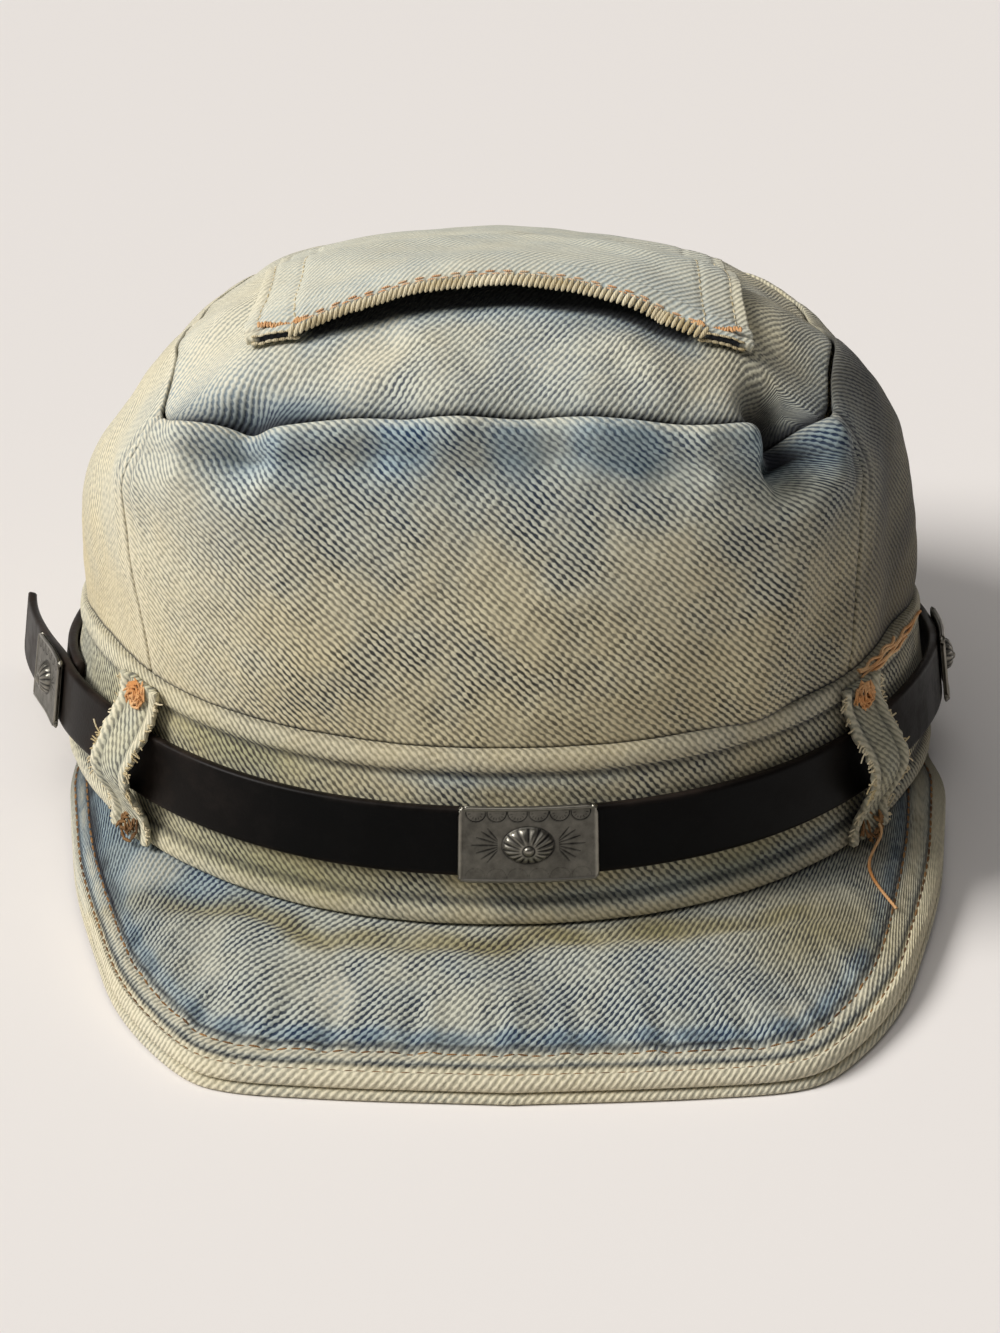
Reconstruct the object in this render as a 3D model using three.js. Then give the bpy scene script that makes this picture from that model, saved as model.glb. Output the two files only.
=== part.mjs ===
// A soft denim cadet cap: a gathered crown on a waistband, a short stitched peak, a patch pocket on the top
// of the crown, and a leather strap with stamped metal plates, held by belt loops.
// Millimetres. +Z is up, -Y is the front, where the peak is, and +X is to the right of someone facing the front.
// The cap rests by itself: on the rim of the peak in front and on the foot of the band behind.

import * as THREE from "three";

const { degToRad, lerp, smoothstep } = THREE.MathUtils;

// Cloth, and the room between pieces
const GAP = 0.3; // between pieces that are sewn or laid together
const DENIM = 1.6; // a layer of heavy denim with its seam allowance pressed flat
const BAND_WALL = 3.0; // the waistband: two layers of denim round an interlining

// The band and the crown
const OPENING_WIDTH = 179; // outside of the band's foot, ear to ear
const OPENING_LENGTH = 192; // outside of the band's foot, brow to nape
const BAND_HEIGHT = 34;
const CROWN_HEIGHT = 85; // from the band's seam behind to the middle of the top
const FRONT_LIFT = 13; // how far the peak holds the brow off the table
const BAND_STAND = 0.8; // how far the band stands out past the crown
const BAND_ROLL = 0.9; // how far the rolled edges of the band stand out past the rest of it
const BAND_ROLL_HEIGHT = 4.2;
const SIDE_SEAM = 50; // degrees from the brow to the seams between the front and the sides

// The peak
const PEAK_LENGTH = 41; // brow to rim, seen from above
const PEAK_WIDTH = 182; // across the rim
const PEAK_OFFSET = 1.6; // how far right of the middle the peak is sewn on
const PEAK_ROOT_ANGLE = 77; // degrees from the brow to where the peak ends
const PEAK_ROOT_DEPTH = 1.6; // how far the peak reaches in under the band
const PEAK_UPPER = 2.8; // stitched cloth over a stiffener
const PEAK_UNDER = 1.4;
const PEAK_LIP = 0.7; // how far the under cloth shows past the rim
const PEAK_ARCH = 1.5;

// The patch pocket on the top
const POCKET_WIDTH = 92;
const POCKET_LENGTH = 84; // corner of the mouth to the back corner
const POCKET_POINT = 12; // how far the middle of the back edge runs past its corners
const POCKET_AHEAD = 57; // from the middle of the top to the corners of the mouth
const POCKET_MOUTH_DIP = 9; // how far the middle of the mouth is drawn back
const POCKET_MOUTH = 0.8; // the share of the width that isn't sewn down at the mouth
const POCKET_GAPE = 3.4; // height of the open mouth
const POCKET_HEM = 9;
const POCKET_HEM_WALL = 2.8;
const POCKET_ROOM = 0.9; // between the pocket's cloth and the crown

// Belt loops
const LOOP_ANGLE = 50; // degrees from the brow
const LOOP_WIDTH = 13;
const LOOP_WALL = 1.8;
const LOOP_BOW = 7.5; // how far a loop stands out past its sewn ends

// The strap and its plates
const STRAP_WIDTH = 13.4;
const STRAP_WALL = 2.0;
const PLATE_WIDTH = 25.6;
const PLATE_HEIGHT = 15;
const PLATE_WALL = 1.2;
const PLATE_CORNER = 2.2;
const ROSETTE_WIDTH = 10;
const ROSETTE_HEIGHT = 7.6;
const ROSETTE_RISE = 1.8;
const PLATES = { front: 3.3, left: -76, right: 86 }; // degrees from the brow

// Colours, roughness and metalness
const FINISH = {
  crown: { color: 0x9a9c88, roughness: 0.95, metalness: 0 },
  band: { color: 0x8a8f72, roughness: 0.95, metalness: 0 },
  peak: { color: 0x7c8c90, roughness: 0.95, metalness: 0 },
  pocket: { color: 0xa5a89a, roughness: 0.95, metalness: 0 },
  loop: { color: 0xb3a987, roughness: 0.95, metalness: 0 },
  leather: { color: 0x231c1b, roughness: 0.5, metalness: 0 },
  silver: { color: 0x8b8882, roughness: 0.38, metalness: 0.95 },
};

// Rings of the cap from the foot of the band (level 0) by the band's seam (1) and the top seam (2) to the
// middle of the top (3). band is a share of BAND_HEIGHT, crown and tip are shares of CROWN_HEIGHT, lift is a
// share of FRONT_LIFT, width is a share of half of OPENING_WIDTH, and front and back are shares of half of
// OPENING_LENGTH. sway, to the right, is a share of half of OPENING_WIDTH. tip raises the front and lowers the
// back. fore and aft are the powers of the ring's superellipse ahead of the ears and behind them: 2 is an
// ellipse, and more is squarer.
const RINGS = [
  { level: 0.0, band: 0, crown: 0, tip: 0, lift: 1, sway: 0, width: 1.0, front: 0.995, back: 1.0, fore: 2.15, aft: 2.1 },
  { level: 0.5, band: 0.5, crown: 0, tip: 0, lift: 1, sway: 0, width: 0.98, front: 0.965, back: 0.98, fore: 2.15, aft: 2.1 },
  { level: 1.0, band: 1, crown: 0, tip: 0, lift: 1, sway: 0, width: 0.95, front: 0.93, back: 0.95, fore: 2.2, aft: 2.1 },
  { level: 1.15, band: 1, crown: 0.1, tip: 0.0, lift: 1, sway: -0.004, width: 0.948, front: 0.925, back: 0.965, fore: 2.3, aft: 2.1 },
  { level: 1.35, band: 1, crown: 0.235, tip: 0.01, lift: 1, sway: -0.01, width: 0.938, front: 0.906, back: 0.97, fore: 2.5, aft: 2.1 },
  { level: 1.6, band: 1, crown: 0.42, tip: 0.04, lift: 0.95, sway: -0.016, width: 0.9, front: 0.88, back: 0.93, fore: 3.1, aft: 2.2 },
  { level: 1.85, band: 1, crown: 0.57, tip: 0.07, lift: 0.85, sway: -0.018, width: 0.832, front: 0.847, back: 0.85, fore: 4.6, aft: 2.4 },
  { level: 2.0, band: 1, crown: 0.668, tip: 0.1, lift: 0.8, sway: -0.016, width: 0.748, front: 0.823, back: 0.79, fore: 6, aft: 2.6 },
  { level: 2.15, band: 1, crown: 0.76, tip: 0.09, lift: 0.75, sway: -0.014, width: 0.63, front: 0.66, back: 0.67, fore: 4.5, aft: 2.5 },
  { level: 2.5, band: 1, crown: 0.862, tip: 0.072, lift: 0.6, sway: -0.01, width: 0.38, front: 0.42, back: 0.4, fore: 3, aft: 2.3 },
  { level: 2.75, band: 1, crown: 0.912, tip: 0.041, lift: 0.3, sway: -0.005, width: 0.19, front: 0.21, back: 0.2, fore: 2.2, aft: 2.1 },
  { level: 3.0, band: 1, crown: 0.948, tip: 0, lift: 0, sway: 0, width: 0, front: 0, back: 0, fore: 2, aft: 2 },
];

// Folds of the crown. Each runs between two places, given by degrees from the brow and by level. width and
// rise are shares of CROWN_HEIGHT, and a dent has a negative rise.
const FOLDS = [
  { fold: "right corner ridge", angle: 45, level: 1.9, toAngle: 33, toLevel: 1.1, width: 0.09, rise: 0.03 },
  { fold: "right seam dent", angle: 34, level: 1.86, toAngle: 36, toLevel: 2.02, width: 0.08, rise: -0.08 },
  { fold: "right seam sag", angle: 40, level: 2, toAngle: 30, toLevel: 2, width: 0.16, rise: -0.022 },
  { fold: "left seam sag", angle: -40, level: 2, toAngle: -25, toLevel: 2, width: 0.16, rise: -0.03 },
  { fold: "right corner sag", angle: 49, level: 2, toAngle: 56, toLevel: 2, width: 0.16, rise: -0.03 },
  { fold: "left corner sag", angle: -49, level: 2, toAngle: -56, toLevel: 2, width: 0.16, rise: -0.03 },
  { fold: "left seam dent", angle: -34, level: 1.9, toAngle: -37, toLevel: 2.02, width: 0.08, rise: -0.05 },
];

// The rim of the peak from its middle (t 0) to its end (t 1). across is a share of half of PEAK_WIDTH, ahead is
// a share of the way from the end of the peak to its front, and rise is a share of FRONT_LIFT.
const RIM = [
  { level: 0.0, across: 0.0, ahead: 1.0, rise: 0.0 },
  { level: 0.213, across: 0.4, ahead: 0.981, rise: 0.0 },
  { level: 0.321, across: 0.6, ahead: 0.953, rise: 0.0 },
  { level: 0.392, across: 0.7, ahead: 0.88, rise: 0.01 },
  { level: 0.497, across: 0.805, ahead: 0.742, rise: 0.04 },
  { level: 0.613, across: 0.872, ahead: 0.584, rise: 0.09 },
  { level: 0.743, across: 0.933, ahead: 0.403, rise: 0.16 },
  { level: 0.856, across: 0.965, ahead: 0.24, rise: 0.23 },
  { level: 1.0, across: 1.0, ahead: 0.034, rise: 0.3 },
];

// The strap from its free end, past the left plate and once round to its inner end, which lies under the left
// plate. level is the angle in turns from the brow, off is a share of STRAP_WALL, and up a share of BAND_HEIGHT.
const STRAP = [
  { level: -0.29, off: 7.9, up: 0.36 },
  { level: -0.25, off: 3.9, up: 0.43 },
  { level: -0.211, off: 1.6, up: 0.49 },
  { level: -0.18, off: 1.35, up: 0.5 },
  { level: -0.145, off: 0.6, up: 0.5 },
  { level: -0.08, off: 0.25, up: 0.5 },
  { level: 0.0, off: 0.2, up: 0.5 },
  { level: 0.15, off: 0.3, up: 0.5 },
  { level: 0.235, off: 0.8, up: 0.5 },
  { level: 0.3, off: 0.4, up: 0.5 },
  { level: 0.5, off: 0.2, up: 0.5 },
  { level: 0.7, off: 0.2, up: 0.5 },
  { level: 0.806, off: 0.2, up: 0.5 },
];

// A row of a table at any level: each column runs through the rows as a smooth curve.
function rowAt(table, level) {
  const above = table.findIndex((row) => row.level > level);
  const i = above < 0 ? table.length - 2 : Math.max(0, above - 1);
  const [a, b] = [table[i], table[i + 1]];
  const [before, after] = [table[Math.max(0, i - 1)], table[Math.min(table.length - 1, i + 2)]];
  const span = b.level - a.level;
  const t = (level - a.level) / span;
  const row = {};
  for (const column of Object.keys(a)) {
    const startSlope = (b[column] - before[column]) / (b.level - before.level);
    const endSlope = (after[column] - a[column]) / (after.level - a.level);
    const bend = t * t * (3 - 2 * t);
    row[column] = lerp(a[column], b[column], bend);
    row[column] += span * startSlope * t * (1 - t) ** 2;
    row[column] -= span * endSlope * t * t * (1 - t);
  }
  return row;
}

// How much of the front's lift reaches a place, from 0 behind to 1 at the brow.
function liftShare(angle) {
  return smoothstep(Math.cos(angle), -0.35, 0.55);
}

// A point of the plain cap, without folds. angle is in radians from the brow, positive towards +X.
function plainPoint(angle, level) {
  const ring = rowAt(RINGS, level);
  const s = Math.sin(angle);
  const c = Math.cos(angle);
  const power = c > 0 ? ring.fore : ring.aft;
  const size = (Math.abs(s) ** power + Math.abs(c) ** power) ** (1 / power);
  const length = ((c > 0 ? ring.front : ring.back) * OPENING_LENGTH) / 2;
  const height =
    ring.band * BAND_HEIGHT +
    (ring.crown + (ring.tip * c) / size) * CROWN_HEIGHT +
    ring.lift * FRONT_LIFT * liftShare(angle);
  const across = ((ring.sway + (ring.width * s) / size) * OPENING_WIDTH) / 2;
  return new THREE.Vector3(across, (-length * c) / size, height);
}

const STEP = 0.01; // for slopes, in radians and in levels

// The direction out of a surface of angle and level.
function outward(surface, angle, level) {
  if (level > 3 - STEP) return new THREE.Vector3(0, 0, 1);
  const round = surface(angle + STEP, level).sub(surface(angle - STEP, level));
  const up = surface(angle, level + STEP).sub(surface(angle, level - STEP));
  return round.cross(up).normalize();
}

// Folds as lines in space, with their sizes.
const folds = FOLDS.map((row) => ({
  line: new THREE.Line3(
    plainPoint(degToRad(row.angle), row.level),
    plainPoint(degToRad(row.toAngle), row.toLevel),
  ),
  width: row.width * CROWN_HEIGHT,
  rise: row.rise * CROWN_HEIGHT,
}));

// How far the folds push the crown out at a point.
function foldRise(point) {
  const nearest = new THREE.Vector3();
  let total = 0;
  for (const { line, width, rise } of folds) {
    line.closestPointToPoint(point, true, nearest);
    total += rise * Math.exp(-((nearest.distanceTo(point) / width) ** 2));
  }
  return total;
}

// A point of the crown, with its folds pushed out from the middle of the head's hollow.
const HOLLOW = new THREE.Vector3(0, 0, BAND_HEIGHT + CROWN_HEIGHT / 3);

function crownPoint(angle, level) {
  const point = plainPoint(angle, level);
  const away = point.clone().sub(HOLLOW).normalize();
  return point.addScaledVector(away, foldRise(point));
}

// The sheet that lies a depth inside the crown.

function crownSheet(depth) {
  return (angle, level) =>
    crownPoint(angle, level).addScaledVector(outward(crownPoint, angle, level), -depth);
}

// A closed shell between two sheets. us and vs are the parameters of the columns and rows. closed joins the
// last column to the first, and pole gathers the last row in one point.
function shell({ us, vs, outer, inner, closed = false, pole = false }) {
  const positions = [];
  const index = [];
  const last = vs.length - 1;
  const sheet = (surface) =>
    vs.map((v, j) => {
      const row = [];
      for (const u of us) {
        if (!(pole && j === last && row.length > 0)) positions.push(...surface(u, v).toArray());
        row.push(positions.length / 3 - 1);
      }
      return row;
    });
  const face = (a, b, c) => {
    if (a !== b && b !== c && c !== a) index.push(a, b, c);
  };
  const quad = (a, b, c, d) => {
    face(a, b, c);
    face(a, c, d);
  };
  const top = sheet(outer);
  const under = sheet(inner);
  const columns = closed ? us.length : us.length - 1;
  for (let i = 0; i < columns; i++) {
    const k = (i + 1) % us.length;
    for (let j = 0; j < last; j++) {
      quad(top[j][i], top[j][k], top[j + 1][k], top[j + 1][i]);
      quad(under[j][i], under[j + 1][i], under[j + 1][k], under[j][k]);
    }
    quad(top[0][i], under[0][i], under[0][k], top[0][k]);
    if (!pole) quad(top[last][i], top[last][k], under[last][k], under[last][i]);
  }
  if (!closed) {
    const end = us.length - 1;
    for (let j = 0; j < last; j++) {
      quad(top[j][0], top[j + 1][0], under[j + 1][0], under[j][0]);
      quad(top[j][end], under[j][end], under[j + 1][end], top[j + 1][end]);
    }
  }
  const geometry = new THREE.BufferGeometry();
  geometry.setAttribute("position", new THREE.Float32BufferAttribute(positions, 3));
  geometry.setIndex(index);
  return facingOut(geometry);
}

// Turns the faces of a closed geometry so that they point out.
function facingOut(geometry) {
  const { array: positions } = geometry.attributes.position;
  const { array: index } = geometry.index;
  const corner = (i) => new THREE.Vector3().fromArray(positions, index[i] * 3);
  let volume = 0;
  for (let i = 0; i < index.length; i += 3) {
    volume += corner(i).dot(corner(i + 1).cross(corner(i + 2)));
  }
  if (volume < 0) {
    for (let i = 0; i < index.length; i += 3) {
      [index[i], index[i + 1]] = [index[i + 1], index[i]];
    }
  }
  return geometry;
}

// Even steps from one value to another, both ends included.
function steps(from, to, count) {
  return Array.from({ length: count + 1 }, (_, i) => lerp(from, to, i / count));
}

// Even angles once round, without the last, which is the first.
function roundAngles(count) {
  return steps(0, 2 * Math.PI, count).slice(0, -1);
}

function piece(name, geometry, finish) {
  const mesh = new THREE.Mesh(geometry, new THREE.MeshStandardMaterial(FINISH[finish]));
  mesh.name = name;
  return mesh;
}

// The crown is one surface: its top, front and sides are parted by seams.
const SEAM = degToRad(SIDE_SEAM);
const SEAM_GAP = (1.4 * GAP) / OPENING_WIDTH; // half the room in a side seam, in radians
const LEVEL_LENGTH = plainPoint(0, 2.01).distanceTo(plainPoint(0, 1.99)) / 0.02; // at the top seam
const TOP_GAP = GAP / LEVEL_LENGTH; // in levels
const BAND_GAP = (1.6 * GAP * 0.01) / (plainPoint(0, 1.01).z - plainPoint(0, 1).z);
const FRONT_COLUMNS = 26;
const SIDE_COLUMNS = 20;
const FRONT_ROWS = [1.1, 1.25, 1.4, 1.53, 1.64, 1.73, 1.8, 1.86, 1.91, 1.955];
const SIDE_ROWS = [1.12, 1.28, 1.45, 1.6, 1.73, 1.83, 1.91];

function crownPanel(fromAngle, toAngle, columns, rows) {
  return shell({
    us: steps(fromAngle + SEAM_GAP, toAngle - SEAM_GAP, columns),
    vs: [1 + BAND_GAP, ...rows, 2 - TOP_GAP / 2],
    outer: crownSheet(0),
    inner: crownSheet(DENIM),
  });
}

function crownTop() {
  const front = steps(-SEAM, SEAM, FRONT_COLUMNS);
  const sides = steps(SEAM, 2 * Math.PI - SEAM, 2 * SIDE_COLUMNS);
  return shell({
    us: [...front, ...sides.slice(1, -1)],
    vs: [2 + TOP_GAP / 2, 2.05, 2.11, 2.2, 2.34, 2.5, 2.68, 2.85, 3],
    outer: crownSheet(0),
    inner: crownSheet(DENIM),
    closed: true,
    pole: true,
  });
}

// The band. Its rolled edges stand out at the foot and at the seam.
const ROLL_SHARE = BAND_ROLL_HEIGHT / BAND_HEIGHT;

function bandCore(angle, level) {
  const out = outward(plainPoint, angle, Math.min(level, 1 - STEP)).setZ(0).normalize();
  return plainPoint(angle, level).addScaledVector(out, BAND_STAND);
}

function bandOuter(angle, level) {
  const toEdge = Math.min(level, 1 - level) / ROLL_SHARE;
  const roll = toEdge < 1 ? BAND_ROLL * Math.sqrt(Math.max(0, 1 - (2 * toEdge - 1) ** 2)) : 0;
  const out = outward(plainPoint, angle, 0.5).setZ(0).normalize();
  return bandCore(angle, level).addScaledVector(out, roll);
}

function bandInner(angle, level) {
  const out = outward(plainPoint, angle, 0.5).setZ(0).normalize();
  return bandCore(angle, level).addScaledVector(out, -BAND_WALL);
}

function waistband() {
  const roll = [0, 0.2, 0.8, 1].map((share) => share * ROLL_SHARE);
  return shell({
    us: roundAngles(60),
    vs: [...roll, ...roll.map((share) => 1 - share).reverse()],
    outer: bandOuter,
    inner: bandInner,
    closed: true,
  });
}

// The peak, from its root (v 0) under the band to its rim (v 1), and t from its left end (-1) to its right (1).
function peakPoint(t, v, reach) {
  const side = Math.sign(t);
  const rim = rowAt(RIM, Math.abs(t));
  const angle = degToRad(PEAK_ROOT_ANGLE) * t;
  const root = plainPoint(angle, 0);
  const out = outward(plainPoint, angle, STEP).setZ(0).normalize();
  root.addScaledVector(out, -PEAK_ROOT_DEPTH);
  root.z -= GAP;
  const back = plainPoint(degToRad(PEAK_ROOT_ANGLE), 0).y;
  const front = plainPoint(0, 0).y - PEAK_LENGTH;
  const thickness = PEAK_UPPER + GAP + PEAK_UNDER;
  const edge = new THREE.Vector3(
    (side * rim.across * PEAK_WIDTH) / 2 + PEAK_OFFSET,
    lerp(back, front, rim.ahead),
    thickness + rim.rise * FRONT_LIFT,
  );
  const away = edge.clone().sub(root).setZ(0);
  const share = Math.min(1, away.length() / PEAK_LENGTH);
  edge.addScaledVector(away.normalize(), reach * share);
  const point = root.lerp(edge, v);
  point.z += PEAK_ARCH * share * Math.sin(Math.PI * v);
  return point;
}

function peakPly(depth, wall, reach, rows) {
  const sheet = (below) => (t, v) => {
    const point = peakPoint(t, v, reach);
    point.z -= below;
    return point;
  };
  return shell({
    us: steps(-1, 1, 36),
    vs: steps(0, 1, rows),
    outer: sheet(depth),
    inner: sheet(depth + wall),
  });
}

// The place on the crown's top that lies over a point of the plan.
function placeOver(x, y) {
  let low = 2;
  let high = 3;
  let angle = 0;
  for (let i = 0; i < 30; i++) {
    const level = (low + high) / 2;
    const ring = rowAt(RINGS, level);
    const across = (x / (OPENING_WIDTH / 2) - ring.sway) / ring.width;
    const ahead = -y / (((y < 0 ? ring.front : ring.back) * OPENING_LENGTH) / 2);
    const power = y < 0 ? ring.fore : ring.aft;
    angle = Math.atan2(across, ahead);
    if (Math.abs(across) ** power + Math.abs(ahead) ** power > 1) high = level;
    else low = level;
  }
  return { angle, level: low };
}

// The pocket, a from its left side (-1) to its right (1) and b from its mouth (0) to its back edge (1).
function pocketSheet(inside) {
  return (a, b) => {
    const middle = Math.max(0, 1 - (a / POCKET_MOUTH) ** 2);
    const front = -POCKET_AHEAD + POCKET_MOUTH_DIP * middle;
    const back = -POCKET_AHEAD + POCKET_LENGTH + POCKET_POINT * (1 - Math.abs(a));
    const y = lerp(front, back, b);
    const { angle, level } = placeOver((a * POCKET_WIDTH) / 2, y);
    const length = back - front;
    const hem = smoothstep(b * length, POCKET_HEM - 1, POCKET_HEM + 1);
    const gape = POCKET_GAPE * middle ** 2 * (1 - smoothstep(b, 0, 0.5));
    const wall = inside ? 0 : lerp(POCKET_HEM_WALL, DENIM, hem);
    const point = crownPoint(angle, level);
    return point.addScaledVector(outward(crownPoint, angle, level), POCKET_ROOM + gape + wall);
  };
}

function pocket() {
  return shell({
    us: steps(-1, 1, 22),
    vs: [0, 0.04, 0.09, 0.13, 0.2, 0.32, 0.46, 0.62, 0.8, 1],
    outer: pocketSheet(false),
    inner: pocketSheet(true),
  });
}

// A belt loop, u across it in millimetres and v up it from the band's foot to its seam.
function beltLoop(angle) {
  const turn = degToRad(angle);
  const out = outward(plainPoint, turn, 0.5).setZ(0).normalize();
  const along = new THREE.Vector3(0, 0, 1).cross(out);
  const sheet = (wall) => (u, v) => {
    const bow = smoothstep(v, 0.08, 0.5) * (1 - smoothstep(v, 0.5, 0.92));
    const stand = BAND_ROLL + GAP + (LOOP_BOW - LOOP_WALL) * bow + wall;
    return bandCore(turn, lerp(0.03, 0.97, v)).addScaledVector(out, stand).addScaledVector(along, u);
  };
  return shell({
    us: [-LOOP_WIDTH / 2, LOOP_WIDTH / 2],
    vs: steps(0, 1, 14),
    outer: sheet(LOOP_WALL),
    inner: sheet(0),
  });
}

// The strap, turns along it and v across it from its lower edge (0) to its upper edge (1).
function strapPoint(turns, v, stand) {
  const { off, up } = rowAt(STRAP, turns);
  const angle = turns * 2 * Math.PI;
  const core = bandCore(angle, up);
  const rise = bandCore(angle, 0.8).sub(bandCore(angle, 0.2)).normalize();
  const along = bandCore(angle + STEP, up).sub(bandCore(angle - STEP, up)).normalize();
  const out = along.cross(rise).normalize();
  return core.addScaledVector(out, off * STRAP_WALL + stand).addScaledVector(rise, (v - 0.5) * STRAP_WIDTH);
}

function strap() {
  return shell({
    us: steps(STRAP[0].level, STRAP.at(-1).level, 84),
    vs: [0, 1],
    outer: (turns, v) => strapPoint(turns, v, STRAP_WALL),
    inner: (turns, v) => strapPoint(turns, v, 0),
  });
}

// A plate on the strap: a rounded rectangle that follows the strap, with a domed rosette in its middle. u goes
// round it in radians, and v from its edge (0) to its middle (1).
function plate(angle) {
  const middle = angle / 360;
  const speed = strapPoint(middle + 0.001, 0.5, 0).distanceTo(strapPoint(middle - 0.001, 0.5, 0)) / 0.002;
  const sheet = (wall) => (u, v) => {
    const c = Math.cos(u);
    const s = Math.sin(u);
    const power = (2 * PLATE_HEIGHT) / PLATE_CORNER / 1.6;
    const size = (Math.abs(c) ** power + Math.abs(s) ** power) ** (1 / power);
    const toRosette = smoothstep(v, 0.2, 0.5);
    const share = 1 - v;
    const x = lerp((PLATE_WIDTH * c) / size, ROSETTE_WIDTH * 2 * c, toRosette) * share;
    const y = lerp((PLATE_HEIGHT * s) / size, ROSETTE_HEIGHT * 2 * s, toRosette) * share;
    const dome = Math.sqrt(1 - Math.min(1, 2 * share) ** 2);
    const rise = wall > 0 ? wall + ROSETTE_RISE * dome : 0;
    return strapPoint(middle + x / 2 / speed, 0.5 + y / 2 / STRAP_WIDTH, STRAP_WALL + GAP + rise);
  };
  return shell({
    us: roundAngles(20),
    vs: [0, 0.25, 0.5, 0.6, 0.78, 1],
    outer: sheet(PLATE_WALL),
    inner: sheet(0),
    closed: true,
    pole: true,
  });
}

const cap = new THREE.Group();
cap.add(
  piece("crown_top", crownTop(), "crown"),
  piece("crown_front", crownPanel(-SEAM, SEAM, FRONT_COLUMNS, FRONT_ROWS), "crown"),
  piece("crown_side_right", crownPanel(SEAM, Math.PI, SIDE_COLUMNS, SIDE_ROWS), "crown"),
  piece("crown_side_left", crownPanel(-Math.PI, -SEAM, SIDE_COLUMNS, SIDE_ROWS), "crown"),
  piece("waistband", waistband(), "band"),
  piece("peak_top", peakPly(0, PEAK_UPPER, 0, 6), "peak"),
  piece("peak_under", peakPly(PEAK_UPPER + GAP, PEAK_UNDER, PEAK_LIP, 5), "peak"),
  piece("pocket", pocket(), "pocket"),
  piece("belt_loop_left", beltLoop(-LOOP_ANGLE), "loop"),
  piece("belt_loop_right", beltLoop(LOOP_ANGLE), "loop"),
  piece("belt_loop_back", beltLoop(180), "loop"),
  piece("strap", strap(), "leather"),
  piece("concho_front", plate(PLATES.front), "silver"),
  piece("concho_left", plate(PLATES.left), "silver"),
  piece("concho_right", plate(PLATES.right), "silver"),
);

// The origin is on the table, under the middle of the cap's box.
const box = new THREE.Box3().setFromObject(cap);
const middle = box.getCenter(new THREE.Vector3());
cap.position.set(-middle.x, -middle.y, -box.min.z);

export default cap;
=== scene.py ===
# %% [markdown]
# # A soft denim cadet cap
#
# The cap is cut from old jeans: a crown of four panels on a waistband, a short peak of two stitched plies, a
# patch pocket on the top, belt loops, and a black leather strap with three stamped silver plates.
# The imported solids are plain. Each piece of cloth is made again here as a fine sheet on the same surface, so
# that the folds, rolled hems, stitches and twill of the real one can be seen.

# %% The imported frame
import math
import random

import bmesh
import bpy
import numpy as np
from mathutils import Matrix, Vector


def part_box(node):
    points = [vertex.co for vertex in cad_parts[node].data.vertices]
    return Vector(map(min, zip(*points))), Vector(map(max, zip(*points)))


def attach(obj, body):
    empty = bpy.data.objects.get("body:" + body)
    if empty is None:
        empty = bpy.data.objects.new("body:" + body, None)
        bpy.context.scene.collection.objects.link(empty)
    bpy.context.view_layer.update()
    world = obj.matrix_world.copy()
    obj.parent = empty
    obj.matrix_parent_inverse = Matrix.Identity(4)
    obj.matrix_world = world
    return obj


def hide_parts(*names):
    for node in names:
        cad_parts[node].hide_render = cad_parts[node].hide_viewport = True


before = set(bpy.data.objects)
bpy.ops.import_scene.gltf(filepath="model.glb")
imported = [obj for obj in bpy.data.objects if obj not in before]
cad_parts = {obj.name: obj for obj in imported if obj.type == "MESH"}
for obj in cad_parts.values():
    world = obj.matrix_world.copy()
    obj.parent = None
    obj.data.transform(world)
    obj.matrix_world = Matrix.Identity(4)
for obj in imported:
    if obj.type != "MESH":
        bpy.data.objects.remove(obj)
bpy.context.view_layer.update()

# %% [markdown]
# ## Sizes
#
# The solids were made from one table of rings, from the foot of the band up to the middle of the top. The
# sheets below need the same surface, so the table and the sizes stand here again, in millimetres.

# %% Sizes and rings
MM = 0.001
GAP = 0.3
BAND_WALL = 3.0
OPENING_WIDTH = 179
OPENING_LENGTH = 192
BAND_HEIGHT = 34
CROWN_HEIGHT = 85
FRONT_LIFT = 13
BAND_STAND = 0.8
BAND_ROLL = 0.9
BAND_ROLL_HEIGHT = 4.2
SEAM = math.radians(50)
PEAK_LENGTH = 41
PEAK_WIDTH = 182
PEAK_OFFSET = 1.6
PEAK_ROOT = math.radians(77)
PEAK_ROOT_DEPTH = 1.6
PEAK_UPPER = 2.8
PEAK_UNDER = 1.4
PEAK_LIP = 0.7
PEAK_ARCH = 1.5
POCKET_WIDTH = 92
POCKET_LENGTH = 84
POCKET_POINT = 12
POCKET_AHEAD = 57
POCKET_MOUTH_DIP = 9
POCKET_MOUTH = 0.8
POCKET_GAPE = 3.4
POCKET_HEM = 9
LOOP_ANGLE = math.radians(50)
LOOP_WIDTH = 13
LOOP_WALL = 1.8
LOOP_BOW = 7.5
STRAP_WIDTH = 13.4
STRAP_WALL = 2.0
PLATE_WIDTH = 25.6
PLATE_HEIGHT = 15

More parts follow.
